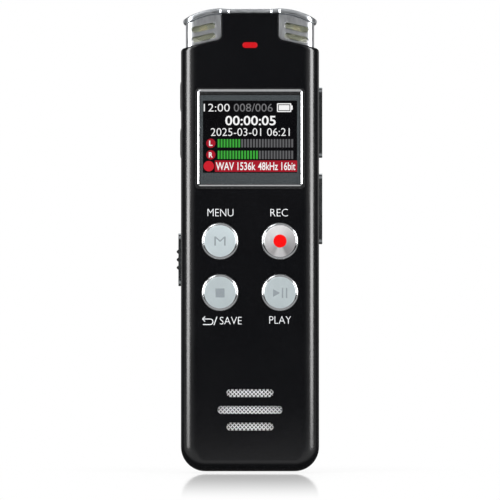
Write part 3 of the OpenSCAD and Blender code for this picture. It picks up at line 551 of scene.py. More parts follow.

# %% [markdown]
# ## Finishes of the inner pieces
# These pieces are sealed inside, yet each carries its own finish:
# green laminate, moulded black packages, wrapped foil, drawn brass and so on.

# %% Inner finishes
INNER = {
    "panel_black": ((8, 8, 10), (14, 14, 16), (0.1, 0.16), 0.0, (3, 3, 3)),
    "tray_white": ((222, 222, 218), (234, 234, 230), (0.5, 0.6), 0.0, (6, 6, 6)),
    "flex_film": ((176, 116, 48), (204, 144, 66), (0.3, 0.4), 0.0, (5, 0.5, 0.5)),
    "switch_metal": ((176, 178, 180), (200, 202, 204), (0.3, 0.42), 1.0, (8, 8, 2)),
    "pin_steel": ((160, 162, 164), (190, 192, 194), (0.24, 0.34), 1.0, (8, 1, 8)),
    "board_green": ((20, 78, 44), (34, 104, 60), (0.32, 0.46), 0.0, (4, 4, 0.8)),
    "chip_black": ((22, 22, 24), (32, 32, 34), (0.5, 0.62), 0.0, (9, 9, 9)),
    "parts_ceramic": ((168, 148, 108), (196, 178, 136), (0.4, 0.5), 0.0, (7, 7, 7)),
    "led_white": ((236, 232, 220), (246, 243, 232), (0.3, 0.4), 0.0, (6, 6, 6)),
    "battery_foil": ((150, 160, 176), (186, 194, 206), (0.34, 0.5), 0.7, (2, 2, 0.4)),
    "lead_red": ((176, 24, 22), (198, 36, 32), (0.4, 0.5), 0.0, (6, 6, 6)),
    "lead_black": ((20, 20, 21), (30, 30, 31), (0.4, 0.5), 0.0, (6, 6, 6)),
    "basket_steel": ((120, 124, 128), (150, 154, 158), (0.3, 0.42), 1.0, (6, 6, 6)),
    "cone_film": ((36, 36, 38), (52, 52, 54), (0.5, 0.6), 0.0, (3, 3, 3)),
    "magnet_steel": ((150, 152, 156), (180, 182, 186), (0.26, 0.36), 1.0, (5, 5, 5)),
    "socket_steel": ((184, 186, 190), (208, 210, 212), (0.2, 0.3), 1.0, (8, 8, 1)),
    "socket_black": ((16, 16, 17), (24, 24, 25), (0.4, 0.5), 0.0, (7, 7, 7)),
    "screw_steel": ((96, 98, 100), (124, 126, 128), (0.28, 0.4), 1.0, (7, 1, 7)),
    "boot_rubber": ((28, 28, 30), (40, 40, 42), (0.6, 0.72), 0.0, (5, 5, 5)),
    "capsule_metal": ((196, 160, 84), (216, 184, 112), (0.24, 0.34), 1.0, (7, 7, 7)),
    "plunger_black": ((22, 22, 24), (32, 32, 34), (0.4, 0.5), 0.0, (7, 7, 7)),
    "lever_black": ((22, 22, 24), (32, 32, 34), (0.4, 0.5), 0.0, (7, 7, 7)),
    "record_silver": ((206, 206, 208), (222, 222, 224), (0.34, 0.44), 0.75, (7, 7, 7)),
}
for slot_name, (first, second, rough, metallic, grain) in INNER.items():
    FINISH[slot_name] = finish(
        slot_name, tone(*first), tone(*second), rough, metallic, grain=grain, bump=0.001)


def lit(name, colour, strength, body=(4, 4, 5)):
    """A finish that gives off light, for the screen and the status light, with uneven brightness."""
    material = finish(name, tone(*body), tone(*body), (0.2, 0.28), grain=(5, 5, 5), Specular_IOR_Level=0.2)
    tree = material.node_tree
    shader = tree.nodes["Principled BSDF"]
    coords = [n for n in tree.nodes if n.type == "TEX_COORD"][0]
    cells = add(tree, "ShaderNodeGroup", node_tree=grain_group)
    cells.inputs["Per metre"].default_value = (9000, 9000, 9000)
    tree.links.new(coords.outputs["Object"], cells.inputs["Vector"])
    dim = tuple(0.9 * c for c in tone(*colour)[:3]) + (1.0,)
    shown = mix_colour(tree, cells.outputs["Mask"], dim, tone(*colour))
    tree.links.new(shown, shader.inputs["Emission Color"])
    shader.inputs["Emission Strength"].default_value = strength
    return material


GLOW_WHITE = lit("glow_white", (250, 250, 250), 1.0)
GLOW_GREY = lit("glow_grey", (118, 118, 120), 1.0)
GLOW_BAR = lit("glow_bar", (96, 96, 98), 1.0)
GLOW_GREEN = lit("glow_green", (62, 170, 60), 1.0)
GLOW_RED = lit("glow_red", (168, 24, 40), 1.0)
GLOW_DOT = lit("glow_dot", (206, 30, 44), 1.0)
GLOW_OFF = lit("glow_off", (1, 1, 2), 1.0)
FINISH["light_red"] = lit("light_red", (206, 18, 26), 0.8, body=(90, 8, 12))
print(len(FINISH), "finishes in all")

# %% [markdown]
# ## The black casing
# The casing is two moulded cups that meet at a seam behind the middle of its depth. Seen from the
# front the outline has two wide bottom corners, sloping shoulders and a neck. Each cup is one loft:
# rings run from the flat face over the soft edge to the seam, turn inwards over the wall and come
# back along the inside, so the wall has its real thickness everywhere.

# %% Casing outline and cups
def shoulder_at(x):
    return SHOULDER_Z - (x - NECK_HALF) * math.tan(SLOPE)


def casing_outline(side, base, top):
    """The casing seen from the front, drawn in by side, base and top from its widest outline."""
    bottom = [
        (HALF_W - CORNER_R + (CORNER_R - side) * math.cos(a), CORNER_R + (CORNER_R - base) * math.sin(a))
        for a in (math.radians(-90 + 90 * i / 12) for i in range(13))
    ]
    radius = max(SHOULDER_R - top, 0.1)
    x = HALF_W - side - radius
    drop = (top + radius) / math.cos(SLOPE)
    shoulder = arc(x, shoulder_at(x) - drop, radius, 0, 90 - math.degrees(SLOPE), 6)
    x = NECK_HALF + NECK_FILLET
    rise = NECK_FILLET / math.cos(SLOPE)
    neck = arc(x, shoulder_at(x) + rise, NECK_FILLET + top, 270 - math.degrees(SLOPE), 180, 6)
    return mirrored(bottom + shoulder + neck + [(NECK_HALF - top, NECK_TOP - top)])


EDGE_STEPS = 18
CRISP = 0.18
SEAM = 0.07


def cup_levels(face, seam, way):
    """Rings of one cup from its flat face to the seam and back inside; way is +1 for the front cup."""
    rings = []
    for i in range(EDGE_STEPS + 1):
        a = math.radians(90 - 90 * i / EDGE_STEPS)
        depth = EDGE_DEPTH * (1 - math.sin(a))
        inward = 1 - math.cos(a)
        crisp = max(0.0, CRISP - depth)
        rings.append((face + way * depth, casing_outline(EDGE_WIDTH * inward, EDGE_DEPTH * inward, crisp)))
    rings.append((seam - way * SEAM, casing_outline(0, 0, 0)))
    rings.append((seam, casing_outline(SEAM, SEAM, SEAM)))
    rings.append((seam, casing_outline(WALL, WALL, WALL)))
    inner = EDGE_DEPTH - WALL
    inner_steps = EDGE_STEPS // 3
    for i in range(inner_steps + 1):
        a = math.radians(90 * i / inner_steps)
        inward = 1 - math.cos(a)
        outline = casing_outline(WALL + (EDGE_WIDTH - WALL) * inward, WALL + inner * inward, WALL)
        rings.append((face + way * (WALL + inner * (1 - math.sin(a))), outline))
    return rings


def flared(outline, mouth, way, depth, flare, axis="y"):
    """A cutting tool: outline(grow) gives its shape, and its mouth opens by flare at the surface."""
    out = 0.25
    return loft("tool", [
        (mouth - way * out, outline(flare + out)),
        (mouth + way * flare, outline(0)),
        (mouth + way * depth, outline(0)),
    ], axis)


print("casing outline has", len(casing_outline(0, 0, 0)), "points")

# %% [markdown]
# ## Openings in the casing
# The front cup is opened for the screen, the four buttons, the status light, the speaker slots, the
# side keys, the charging port and the headphone socket. Each tool has a flared mouth, so the
# Boolean leaves a fine chamfer round every opening, as a mould would. The rear cup takes four screw
# counterbores and its half of the socket's hole.

# %% Tools for the front
BUTTONS = ("menu", "record", "stop", "play")
BUTTON_HOLE_R = 4.15
bezel_low, bezel_high = span("screen_bezel")
lens_low, lens_high = span("screen_lens")
light_high = span("light_pipe")[1]
slot_mid = middle("speaker_mesh")
SLOT_H, SLOT_PITCH = 1.75, 3.65
SLOT_LENGTHS = (10.2, 14.0, 10.2)
LIGHT_W, LIGHT_H = 3.15, 1.15


def grown_rect(centre, width, height, radius):
    """An outline that flared() can grow."""
    return lambda grow: round_rect(
        centre[0], centre[1], width + 2 * grow, height + 2 * grow, radius + grow)


def front_tools():
    tools = []
    for name in BUTTONS:
        spot = middle(f"{name}_button")
        hole = lambda grow, spot=spot: circle(spot.x, spot.z, BUTTON_HOLE_R + grow)
        tools.append(flared(hole, FRONT, 1, 3, 0.14))
    for i, long in enumerate(SLOT_LENGTHS):
        z = slot_mid.z + (i - 1) * SLOT_PITCH
        shape = grown_rect((0, z), long, SLOT_H, SLOT_H / 2 - 0.01)
        tools.append(flared(shape, FRONT, 1, 1.0, 0.1))
    shape = grown_rect((0, middle("light_pipe").z), LIGHT_W + 0.1, LIGHT_H + 0.1, LIGHT_H / 2)
    tools.append(flared(shape, FRONT, 1, 3, 0.05))
    centre = ((bezel_low.x + bezel_high.x) / 2, (bezel_low.z + bezel_high.z) / 2)
    size = (bezel_high.x - bezel_low.x, bezel_high.z - bezel_low.z)
    shape = grown_rect(centre, size[0] + 0.1, size[1] + 0.1, 1.05)
    tools.append(flared(shape, FRONT, 1, 0.62, 0.0))
    return tools


def inner_tools():
    """Pockets reached from inside: behind the window and behind the speaker slots."""
    well = round_rect(0, (lens_low.z + lens_high.z) / 2, 20.8, 18.4, 0.4)
    low, high = span("speaker_mesh")
    plate = round_rect(slot_mid.x, slot_mid.z, high.x - low.x + 0.1, high.z - low.z + 0.1, 0.2)
    return [loft("tool", [(y, outline), (FRONT + 3, outline)])
            for y, outline in ((FRONT + 0.5, well), (low.y, plate))]


# %% Tools for the sides, base and top
SOCKET_HOLE_R = 2.5
socket_y = middle("jack_body").y
port_low, port_high = span("usb_shell")


def side_window(node, side, margin):
    low, high = span(node)
    shape = grown_rect((KEY_Y, (low.z + high.z) / 2), margin[0], margin[1], margin[2])
    return flared(shape, side * HALF_W, -side, 2.4, 0.1, "x")


def side_tools():
    tools = [side_window(name, 1, (3.4, 15.65, 1.2)) for name in ("volume_rocker", "skip_rocker")]
    tools += [side_window(name, -1, (3.4, 7.1, 1.3)) for name in ("mark_button", "repeat_button")]
    stem = grown_rect((KEY_Y, 46.8), 2.0, 5.4, 0.3)
    tools.append(flared(stem, -HALF_W, 1, 2.4, 0.05, "x"))
    port = grown_rect(((port_low.x + port_high.x) / 2, (port_low.y + port_high.y) / 2),
                      port_high.x - port_low.x + 0.2, port_high.y - port_low.y + 0.2, 1.7)
    tools.append(flared(port, 0, 1, 2.4, 0.12, "z"))
    return tools


def socket_tool():
    return flared(lambda grow: circle(0, socket_y, SOCKET_HOLE_R + grow, 48), NECK_TOP, -1, 5, 0.05, "z")


# %% Posts inside
cover_screw_spots = [(x, z) for x in (-10.8, 10.8) for z in (8.0, 88.5)]
board_screw_spots = [(x, z) for x in (-10.3, 10.3) for z in (29.0, 57.5)]


def posts(spots, radius, start, end):
    return [loft("post", [(start, circle(x, z, radius, 24)), (end, circle(x, z, radius, 24))])
            for x, z in spots]


print(len(cover_screw_spots), "cover posts,", len(board_screw_spots), "board posts")

# %% Front cup
front_shell = loft("casing_front", cup_levels(FRONT, PARTING, 1), material=FINISH["shell_black"])
cut(front_shell, front_tools() + side_tools() + [socket_tool()])
cut(front_shell, inner_tools())
board_front = span("main_board")[0].y
front_posts = posts(cover_screw_spots, 1.6, FRONT + WALL * 0.8, PARTING)
front_posts += posts(board_screw_spots, 1.5, FRONT + WALL * 0.8, board_front)
front_shell = join("casing_front", [front_shell] + front_posts)
shade(front_shell)
settle(front_shell, "casing", "shell_black", "front_shell")

# %% Rear cup
rear_cover = loft("casing_rear", cup_levels(BACK, PARTING, -1), material=FINISH["shell_black"])
SCREW_HEAD_R = 1.5
tools = [
    flared(lambda grow, x=x, z=z: circle(x, z, SCREW_HEAD_R + 0.1 + grow, 40), BACK, -1, 1.0, 0.1)
    for x, z in cover_screw_spots
]
cut(rear_cover, tools + [socket_tool()])
rear_cover = join("casing_rear", [rear_cover] + posts(cover_screw_spots, 1.7, PARTING, BACK - 1.05))
shade(rear_cover)
settle(rear_cover, "casing", "shell_black", "rear_cover")

# %% [markdown]
# ## Metal cap
# The cap is one bent strip: flat over the neck, then falling in an arc over each microphone to a
# round tip. Its outline is drawn once from the front and repeated at levels through the depth, with
# rounded front and back edges. The middle stands back a little, joined by an S-shaped step whose
# slopes catch the strip lamps, and the tips are rounded when seen from above.

# %% Make the cap
CAP_T = 1.15
cap_high = span("top_cap")[1]
CAP_HALF = cap_high.x - CAP_T / 2
CAP_SPAN = CAP_HALF - NECK_HALF
CAP_DROP = 2.3
CAP_R = (CAP_SPAN ** 2 + CAP_DROP ** 2) / (2 * CAP_DROP)
CAP_AXIS_Z = TOTAL_H - CAP_T / 2 - CAP_R
CAP_REACH = math.degrees(math.asin(CAP_SPAN / CAP_R))
MID_HALF, MID_SET_BACK, MID_LOWER = 4.5, 0.42, 0.13
TIP_PLAN_R = 2.5
CAP_LEAN = 0.17


def eased(value, low, high):
    t = min(1.0, max(0.0, (value - low) / (high - low)))
    return t * t * (3 - 2 * t)


FLAT_X = [0, 1, 2, 3, 4, 4.35] + [4.4 + 0.06 * i for i in range(8)] + [5.0, 5.4, 5.8, 6.1]
ARC_STEPS = 44


def cap_outline(inset):
    """The cap seen from the front, drawn in by inset all round."""
    half = CAP_T / 2 - inset
    tip_x = NECK_HALF + CAP_R * math.sin(math.radians(CAP_REACH))
    tip_z = CAP_AXIS_Z + CAP_R * math.cos(math.radians(CAP_REACH))
    under = [(x, TOTAL_H - CAP_T + inset) for x in FLAT_X]
    under += arc(NECK_HALF, CAP_AXIS_Z, CAP_R - half, 90, 90 - CAP_REACH, ARC_STEPS)
    tip = arc(tip_x, tip_z, half, -90 - CAP_REACH, 90 - CAP_REACH, 12)[1:-1]
    over = arc(NECK_HALF, CAP_AXIS_Z, CAP_R + half, 90 - CAP_REACH, 90, ARC_STEPS)
    over += [(x, TOTAL_H - inset) for x in reversed(FLAT_X)]
    step = [(x, z - MID_LOWER * (1 - eased(x, MID_HALF, NECK_HALF))) for x, z in over]
    return mirrored(under + tip + step)


def cap_depth(x):
    """Half of the cap's depth at a distance from the middle."""
    past = max(0.0, abs(x) - (cap_high.x - TIP_PLAN_R))
    tip = cap_high.y - TIP_PLAN_R + math.sqrt(max(0.0, TIP_PLAN_R ** 2 - past ** 2))
    steps = 2 - eased(abs(x), MID_HALF - 0.1, MID_HALF + 0.35) - eased(abs(x), NECK_HALF, NECK_HALF + 0.45)
    return tip - MID_SET_BACK / 2 * steps


CAP_EDGE = [(0.0, 0.24), (0.02, 0.17), (0.06, 0.1), (0.12, 0.05), (0.2, 0.015), (0.28, 0.0)]


def cap_ends(count):
    """Quads across the strip, and one face at each tip, in place of one large end face."""
    half, across = count // 2, len(FLAT_X) + ARC_STEPS + 1
    right = [(i, i + 1, half - 2 - i, half - 1 - i) for i in range(across - 1)]
    right.append(tuple(range(across - 1, half - across + 1)))
    return right + [tuple(count - 1 - i for i in face) for face in right]


def make_cap():
    levels = [(-cap_high.y + d, cap_outline(i)) for d, i in CAP_EDGE]
    levels += [(cap_high.y - d, cap_outline(i)) for d, i in reversed(CAP_EDGE)]
    cap = loft("top_cap_strip", levels, material=FINISH["cap_metal"], ends=cap_ends(len(levels[0][1])))
    for vertex in cap.data.vertices:
        x, y, z = vertex.co / MM
        rise = (math.hypot(max(0.0, abs(x) - NECK_HALF), z - CAP_AXIS_Z) - CAP_R) / CAP_T + 0.5
        vertex.co.y *= (cap_depth(x) - CAP_LEAN * rise) / cap_high.y
    tool = loft("tool", [(z, circle(0, socket_y, SOCKET_HOLE_R, 48))
                         for z in (TOTAL_H - 3, TOTAL_H + 1)], "z")
    return cut(cap, [tool])


cap = shade(make_cap(), 40)
settle(cap, "casing", "cap_metal", "top_cap")

# %% [markdown]
# ## Microphone housings
# Under each wing of the cap sits a metal housing with a rounded outer edge and two slanting slots
# front and back. It is a loft like the casing: its outline follows the shoulder, the round corner
# at the neck and the underside of the cap, and only the outer side draws in towards the faces. A
# narrow bevel under the cap leaves the dark line that separates the two.

# %% Housing outline
housing_high = span("mic_housing_right")[1]
HOUSING_OUT, HOUSING_Y = housing_high.x, housing_high.y
HOUSING_WALL = 0.9
HOUSING_EDGE_R, HOUSING_EDGE_W = 1.4, 1.9
MIC_X = (NECK_HALF + HOUSING_OUT) / 2


def housing_outline(side, rim, gap):
    """Right housing from the front: side draws in its outer side, rim every edge, gap its top."""
    slope = math.degrees(SLOPE)
    x_out = HOUSING_OUT - side - rim
    lift = rim / math.cos(SLOPE)
    bottom = [(x_out, shoulder_at(x_out) + lift)]
    x = NECK_HALF + NECK_FILLET
    corner = arc(x, shoulder_at(x) + NECK_FILLET / math.cos(SLOPE), NECK_FILLET - rim, 270 - slope, 180, 8)
    roof_r = CAP_R - CAP_T / 2 - gap
    start = math.degrees(math.acos((rim + 0.02) / roof_r))
    end = math.degrees(math.acos((x_out - NECK_HALF) / roof_r))
    roof = arc(NECK_HALF, CAP_AXIS_Z, roof_r, start, end, 20)
    return bottom + corner + roof


def housing_levels():
    levels = []
    steps = 14
    for i in range(steps + 1):
        a = math.radians(90 - 90 * i / steps)
        depth = HOUSING_EDGE_R * (1 - math.sin(a))
        side = HOUSING_EDGE_W * (1 - math.cos(a))
        rim = max(0.0, 0.16 - depth)
        gap = max(0.03, 0.3 - 0.8 * depth)
        levels.append((-HOUSING_Y + depth, housing_outline(side, rim, gap)))
    return levels + [(-y, outline) for y, outline in reversed(levels)]


# %% Slots and hollow
GRILLE_L, GRILLE_H = 5.3, 1.3
GRILLE_RISES = (1.2, 3.43)


def slanted(points, cx, cz):
    """Points turned to follow the shoulder's slope about a centre."""
    c, s = math.cos(-SLOPE), math.sin(-SLOPE)
    return [(cx + c * x - s * z, cz + s * x + c * z) for x, z in points]


def grille_tools():
    tools = []
    for rise in GRILLE_RISES:
        z = shoulder_at(MIC_X) + rise

        def shape(grow, z=z):
            points = round_rect(0, 0, GRILLE_L + 2 * grow, GRILLE_H + 2 * grow, GRILLE_H / 2 + grow - 0.01)
            return slanted(points, MIC_X, z)

        tools += [flared(shape, -HOUSING_Y, 1, 1.2, 0.16), flared(shape, HOUSING_Y, -1, 1.2, 0.16)]
    return tools


def hollow_tool():
    near, far = NECK_HALF + HOUSING_WALL, HOUSING_OUT - HOUSING_WALL
    room = HOUSING_Y - HOUSING_WALL
    corners = ((near, 0.5), (far, 0.5), (far, 4.9), (near, 4.9))
    band = [(x, shoulder_at(x) + z) for x, z in corners]
    return loft("tool", [(-room, band), (room, band)])


def mirror_copy(piece, name):
    """A mirrored twin of a piece, with its faces turned the right way round."""
    mesh = piece.data.copy()
    for vertex in mesh.vertices:
        vertex.co.x = -vertex.co.x
    mesh.flip_normals()
    mesh.name = name
    twin = bpy.data.objects.new(name, mesh)
    scene.collection.objects.link(twin)
    return twin


def make_housings():
    right = loft("mic_shell_right", housing_levels(), material=FINISH["mic_metal"])
    cut(right, [hollow_tool()])
    cut(right, grille_tools())
    left = mirror_copy(right, "mic_shell_left")
    for side, piece in (("right", right), ("left", left)):
        shade(piece, 38)
        settle(piece, "casing", "mic_metal", f"mic_housing_{side}")


make_housings()

# %% [markdown]
# ## Woven mesh
# The grilles and the speaker share one idea, a plain weave set on the diagonal. Each crossing is a
# small cell of two short bent wires, one passing over the other. Geometry Nodes place the cell on
# a grid, give every second cell a quarter turn so that over and under alternate, turn the grid by
# 45 degrees and drop what falls outside the plate. That costs far fewer nodes than tracing wires.

# %% One crossing
def crossing_cell(name, pitch, wire_r, material):
    """Two short wires that cross at the origin, each bent like a wave, in the plane of X and Y."""
    steps, sides = 4, 5
    verts, faces = [], []
    for along, lift in ((0, 1), (1, -1)):
        first = len(verts)
        for i in range(steps + 1):
            t = -0.5 + i / steps
            height = lift * wire_r * 0.9 * math.cos(math.pi * t)
            for k in range(sides):
                a = 2 * math.pi * (k + 0.5) / sides
                across, up = wire_r * math.cos(a), height + wire_r * math.sin(a)
                verts.append((t * pitch, across, up) if along == 0 else (-across, t * pitch, up))
        for i in range(steps):
            for k in range(sides):
                a, b = first + i * sides + k, first + i * sides + (k + 1) % sides
                faces.append((a, b, b + sides, a + sides))
    cell = make(name, verts, faces, material)
    cell.hide_render = True
    return cell


# %% Weave tree
def socket_in(group, label, kind, value=None):
    socket = group.interface.new_socket(label, in_out="INPUT", socket_type=kind)
    if value is not None:
        socket.default_value = value
    return socket.identifier


def field(group, kind, links=(), **values):
    """A Geometry Nodes node with inputs linked by name or index."""
    node = add(group, kind, **values)
    for key, source in dict(links).items():
        if isinstance(source, bpy.types.NodeSocket):
            group.links.new(source, node.inputs[key])
        else:
            node.inputs[key].default_value = source
    return node


def weave_tree():
    """Cells on a square grid, quarter-turned in a chequer, then turned 45 degrees and trimmed."""
    group = bpy.data.node_groups.new("weave", "GeometryNodeTree")
    group.interface.new_socket("Geometry", in_out="OUTPUT", socket_type="NodeSocketGeometry")
    ids = {
        "Cell": socket_in(group, "Cell", "NodeSocketObject"),
        "Pitch": socket_in(group, "Pitch", "NodeSocketFloat", 0.0003),
        "Width": socket_in(group, "Width", "NodeSocketFloat", 0.01),
        "Height": socket_in(group, "Height", "NodeSocketFloat", 0.01),
        "Count": socket_in(group, "Count", "NodeSocketInt", 40),
        "Material": socket_in(group, "Material", "NodeSocketMaterial"),
    }
    given = add(group, "NodeGroupInput")
    result = add(group, "NodeGroupOutput")
    steps = math_node(group, "SUBTRACT", given.outputs["Count"], 1)
    extent = math_node(group, "MULTIPLY", given.outputs["Pitch"], steps)
    grid = field(group, "GeometryNodeMeshGrid", {
        "Size X": extent, "Size Y": extent,
        "Vertices X": given.outputs["Count"], "Vertices Y": given.outputs["Count"]})
    index = add(group, "GeometryNodeInputIndex")
    row = math_node(group, "FLOOR", math_node(group, "DIVIDE", index.outputs[0], given.outputs["Count"]))
    column = math_node(group, "MODULO", index.outputs[0], given.outputs["Count"])
    odd = math_node(group, "MODULO", math_node(group, "ADD", row, column), 2)
    turn = add(group, "ShaderNodeCombineXYZ")
    group.links.new(math_node(group, "MULTIPLY", odd, math.pi / 2), turn.inputs["Z"])
    position = add(group, "GeometryNodeInputPosition")
    parts = field(group, "ShaderNodeSeparateXYZ", {0: position.outputs[0]})
    root = math.sqrt(0.5)
    apart = math_node(group, "SUBTRACT", parts.outputs[0], parts.outputs[1])
    across = math_node(group, "MULTIPLY", apart, root)
    along = math_node(group, "MULTIPLY", math_node(group, "ADD", parts.outputs[0], parts.outputs[1]), root)
    margin = math_node(group, "MULTIPLY", given.outputs["Pitch"], 0.72)
    limits = []
    for value, size in ((across, "Width"), (along, "Height")):
        less = math_node(group, "MULTIPLY", margin, -1.0)
        room = math_node(group, "MULTIPLY_ADD", given.outputs[size], 0.5, less)
        limits.append(math_node(group, "GREATER_THAN", math_node(group, "ABSOLUTE", value), room))
    outside = math_node(group, "MAXIMUM", *limits)
    points = field(group, "GeometryNodeInstanceOnPoints", {"Points": grid.outputs["Mesh"]})
    info = field(group, "GeometryNodeObjectInfo", {"Object": given.outputs["Cell"]})
    group.links.new(info.outputs["Geometry"], points.inputs["Instance"])
    group.links.new(turn.outputs[0], points.inputs["Rotation"])
    kept = field(group, "FunctionNodeBooleanMath", {0: outside}, operation="NOT")
    group.links.new(kept.outputs[0], points.inputs["Selection"])
    spin = field(group, "GeometryNodeTransform", {
        "Geometry": points.outputs[0], "Rotation": (0, 0, math.pi / 4)})
    real = field(group, "GeometryNodeRealizeInstances", {"Geometry": spin.outputs[0]})
    skin = field(group, "GeometryNodeSetMaterial", {
        "Geometry": real.outputs[0], "Material": given.outputs["Material"]})
    group.links.new(skin.outputs[0], result.inputs[0])
    return group, ids


WEAVE, WEAVE_IDS = weave_tree()


def grow_tree(name, tree, ids, values):
    """Run a Geometry Nodes tree once and keep its result as a plain mesh object."""
    mesh = bpy.data.meshes.new(name)
    piece = bpy.data.objects.new(name, mesh)
    scene.collection.objects.link(piece)
    modifier = piece.modifiers.new("Repeat", "NODES")
    modifier.node_group = tree
    for label, value in values.items():
        modifier[ids[label]] = value
    return bake(piece)


# %% Mesh plates
WIRE_SHARE = 0.18


def woven_plate(name, centre, width, height, pitch, material, y, turn=0.0, way=-1):
    """A woven plate at depth y that faces along way, turned about its centre."""
    cell = crossing_cell("cell", pitch, WIRE_SHARE * pitch, material)
    count = int(math.ceil((width + height) * math.sqrt(0.5) / pitch)) + 2
    plate = grow_tree(name, WEAVE, WEAVE_IDS, {
        "Cell": cell, "Pitch": pitch * MM, "Width": width * MM, "Height": height * MM,
        "Count": count, "Material": material})
    bpy.data.objects.remove(cell)
    c, s = math.cos(turn), math.sin(turn)
    for vertex in plate.data.vertices:
        u, v, lift = vertex.co
        vertex.co = (centre[0] * MM + c * u - s * v, y * MM + way * lift, centre[1] * MM + s * u + c * v)
    if way > 0:
        plate.data.flip_normals()
    plate.data.shade_smooth()
    return plate


mesh_low, mesh_high = span("speaker_mesh")
SPEAKER_PITCH = 0.6
speaker_mesh = woven_plate(
    "speaker_weave", (slot_mid.x, slot_mid.z), mesh_high.x - mesh_low.x, mesh_high.z - mesh_low.z,
    SPEAKER_PITCH, FINISH["speaker_mesh_metal"], (mesh_low.y + mesh_high.y) / 2)
settle(speaker_mesh, "casing", "speaker_mesh_metal", "speaker_mesh")

MIC_PITCH = 0.36
MIC_MESH_W, MIC_MESH_H, MIC_MESH_RISE = 5.7, 4.3, 2.68
for side, name in ((1, "right"), (-1, "left")):
    y = HOUSING_Y - HOUSING_WALL - 0.12
    centre = (side * MIC_X, shoulder_at(MIC_X) + MIC_MESH_RISE)
    plates = [
        woven_plate(f"mic_weave_{name}", centre, MIC_MESH_W, MIC_MESH_H, MIC_PITCH,
                    FINISH["mic_mesh_metal"], way * y, -side * SLOPE, way)
        for way in (-1, 1)
    ]
    weave = join(f"mic_weave_{name}", plates)
    settle(weave, "casing", "mic_mesh_metal", f"mic_mesh_{name}")

# %% [markdown]
# ## Screen
# A polished frame holds a tinted window. The frame's section has a flat outer land, a steep face
# that catches the strip lamps and a short drop to the glass; the same section runs round all four
# sides, but the top is wider, so each ring of the loft is drawn in by its own amount there. The
# picture on the display is thin raised print that gives off light. It holds only plain readings: a
# time, a counter, a date, two level meters and the recording format.

# %% Bezel
# Each row is: inset at the sides and bottom, inset at the top, depth y.
BEZEL_SECTION = [
    (0.0, 0.0, FRONT + 0.6), (0.0, 0.0, FRONT - 0.084), (0.04, 0.04, FRONT - 0.085),
    (0.57, 0.3, FRONT - 0.085), (0.61, 0.34, FRONT - 0.088),
    (0.65, 0.38, FRONT - 0.1), (0.84, 0.58, FRONT - 0.184), (0.87, 0.62, FRONT - 0.196),
    (0.91, 0.66, FRONT - 0.2), (0.97, 0.72, FRONT - 0.19), (1.0, 0.76, FRONT - 0.16),
    (1.03, 0.82, FRONT - 0.02), (1.04, 1.44, FRONT - 0.01), (1.05, 1.45, FRONT + 0.6),
]


def bezel_outline(side, top):
    low, high = bezel_low.z + side, bezel_high.z - top
    width = bezel_high.x - bezel_low.x - 2 * side
    return round_rect(0, (low + high) / 2, width, high - low, max(1.0 - 0.75 * side, 0.22), 6)


def ring_loft(name, rings, material):
    """A closed tube through rings of equally many points, such as a frame."""
    count = len(rings[0])
    verts = [p for ring in rings for p in ring]
    faces = []
    for r in range(len(rings)):
        for i in range(count):
            j, n = (i + 1) % count, (r + 1) % len(rings)
            faces.append((r * count + i, r * count + j, n * count + j, n * count + i))
    return heal(make(name, verts, faces, material))


bezel = ring_loft(
    "bezel_frame",
    [[(x, y, z) for x, z in bezel_outline(side, top)] for side, top, y in BEZEL_SECTION],
    FINISH["bezel_chrome"])
shade(bezel, 18)
settle(bezel, "casing", "bezel_chrome", "screen_bezel")

# %% Window
def lens_outline(inset):
    width, height = lens_high.x - lens_low.x - 2 * inset, lens_high.z - lens_low.z - 2 * inset
    return round_rect(0, (lens_low.z + lens_high.z) / 2, width, height, 0.3, 4)


LENS_FACE = lens_low.y
window = loft("window", [
    (LENS_FACE, lens_outline(0.02)), (LENS_FACE + 0.02, lens_outline(0.0)), (lens_high.y, lens_outline(0.0))],
    material=FINISH["screen_window"])
shade(window, 25)
settle(window, "casing", "screen_window", "screen_lens")

# %% Print helpers
PRINT_T = 0.012


def slab(name, outline, face, material, thickness=PRINT_T):
    """A thin raised shape whose back lies on a face that looks along -Y."""
    return loft(name, [(face, outline), (face - thickness, outline)], material=material)


def letters(text, centre, width, height, face, material, bold=0.0, thickness=PRINT_T):
    """A word of exact width and height, standing on a face that looks along -Y."""
    curve = bpy.data.curves.new("letters", "FONT")
    curve.body = text
    curve.offset = bold
    curve.extrude = 0.5
    curve.resolution_u = 3
    holder = bpy.data.objects.new("letters", curve)
    scene.collection.objects.link(holder)
    graph = bpy.context.evaluated_depsgraph_get()
    mesh = bpy.data.meshes.new_from_object(holder.evaluated_get(graph), depsgraph=graph)
    bpy.data.objects.remove(holder)
    xs = [v.co.x for v in mesh.vertices]
    ys = [v.co.y for v in mesh.vertices]
    wide, tall = width / (max(xs) - min(xs)), height / (max(ys) - min(ys))
    mid_x, mid_y = (max(xs) + min(xs)) / 2, (max(ys) + min(ys)) / 2
    for vertex in mesh.vertices:
        x, y, z = vertex.co
        vertex.co = (
            (centre[0] + (x - mid_x) * wide) * MM,
            (face - (z + 0.5) * thickness) * MM,
            (centre[1] + (y - mid_y) * tall) * MM)
    mesh.materials.clear()
    mesh.materials.append(material)
    word = bpy.data.objects.new("letters", mesh)
    scene.collection.objects.link(word)
    return word


def stroke(path, width):
    """The outline of a line of even width along a path of points."""
    left, right = [], []
    for i, (x, z) in enumerate(path):
        before, after = path[max(i - 1, 0)], path[min(i + 1, len(path) - 1)]
        way = Vector((after[0] - before[0], after[1] - before[1])).normalized() * (width / 2)
        left.append((x - way.y, z + way.x))
        right.append((x + way.y, z - way.x))
    return left + right[::-1]


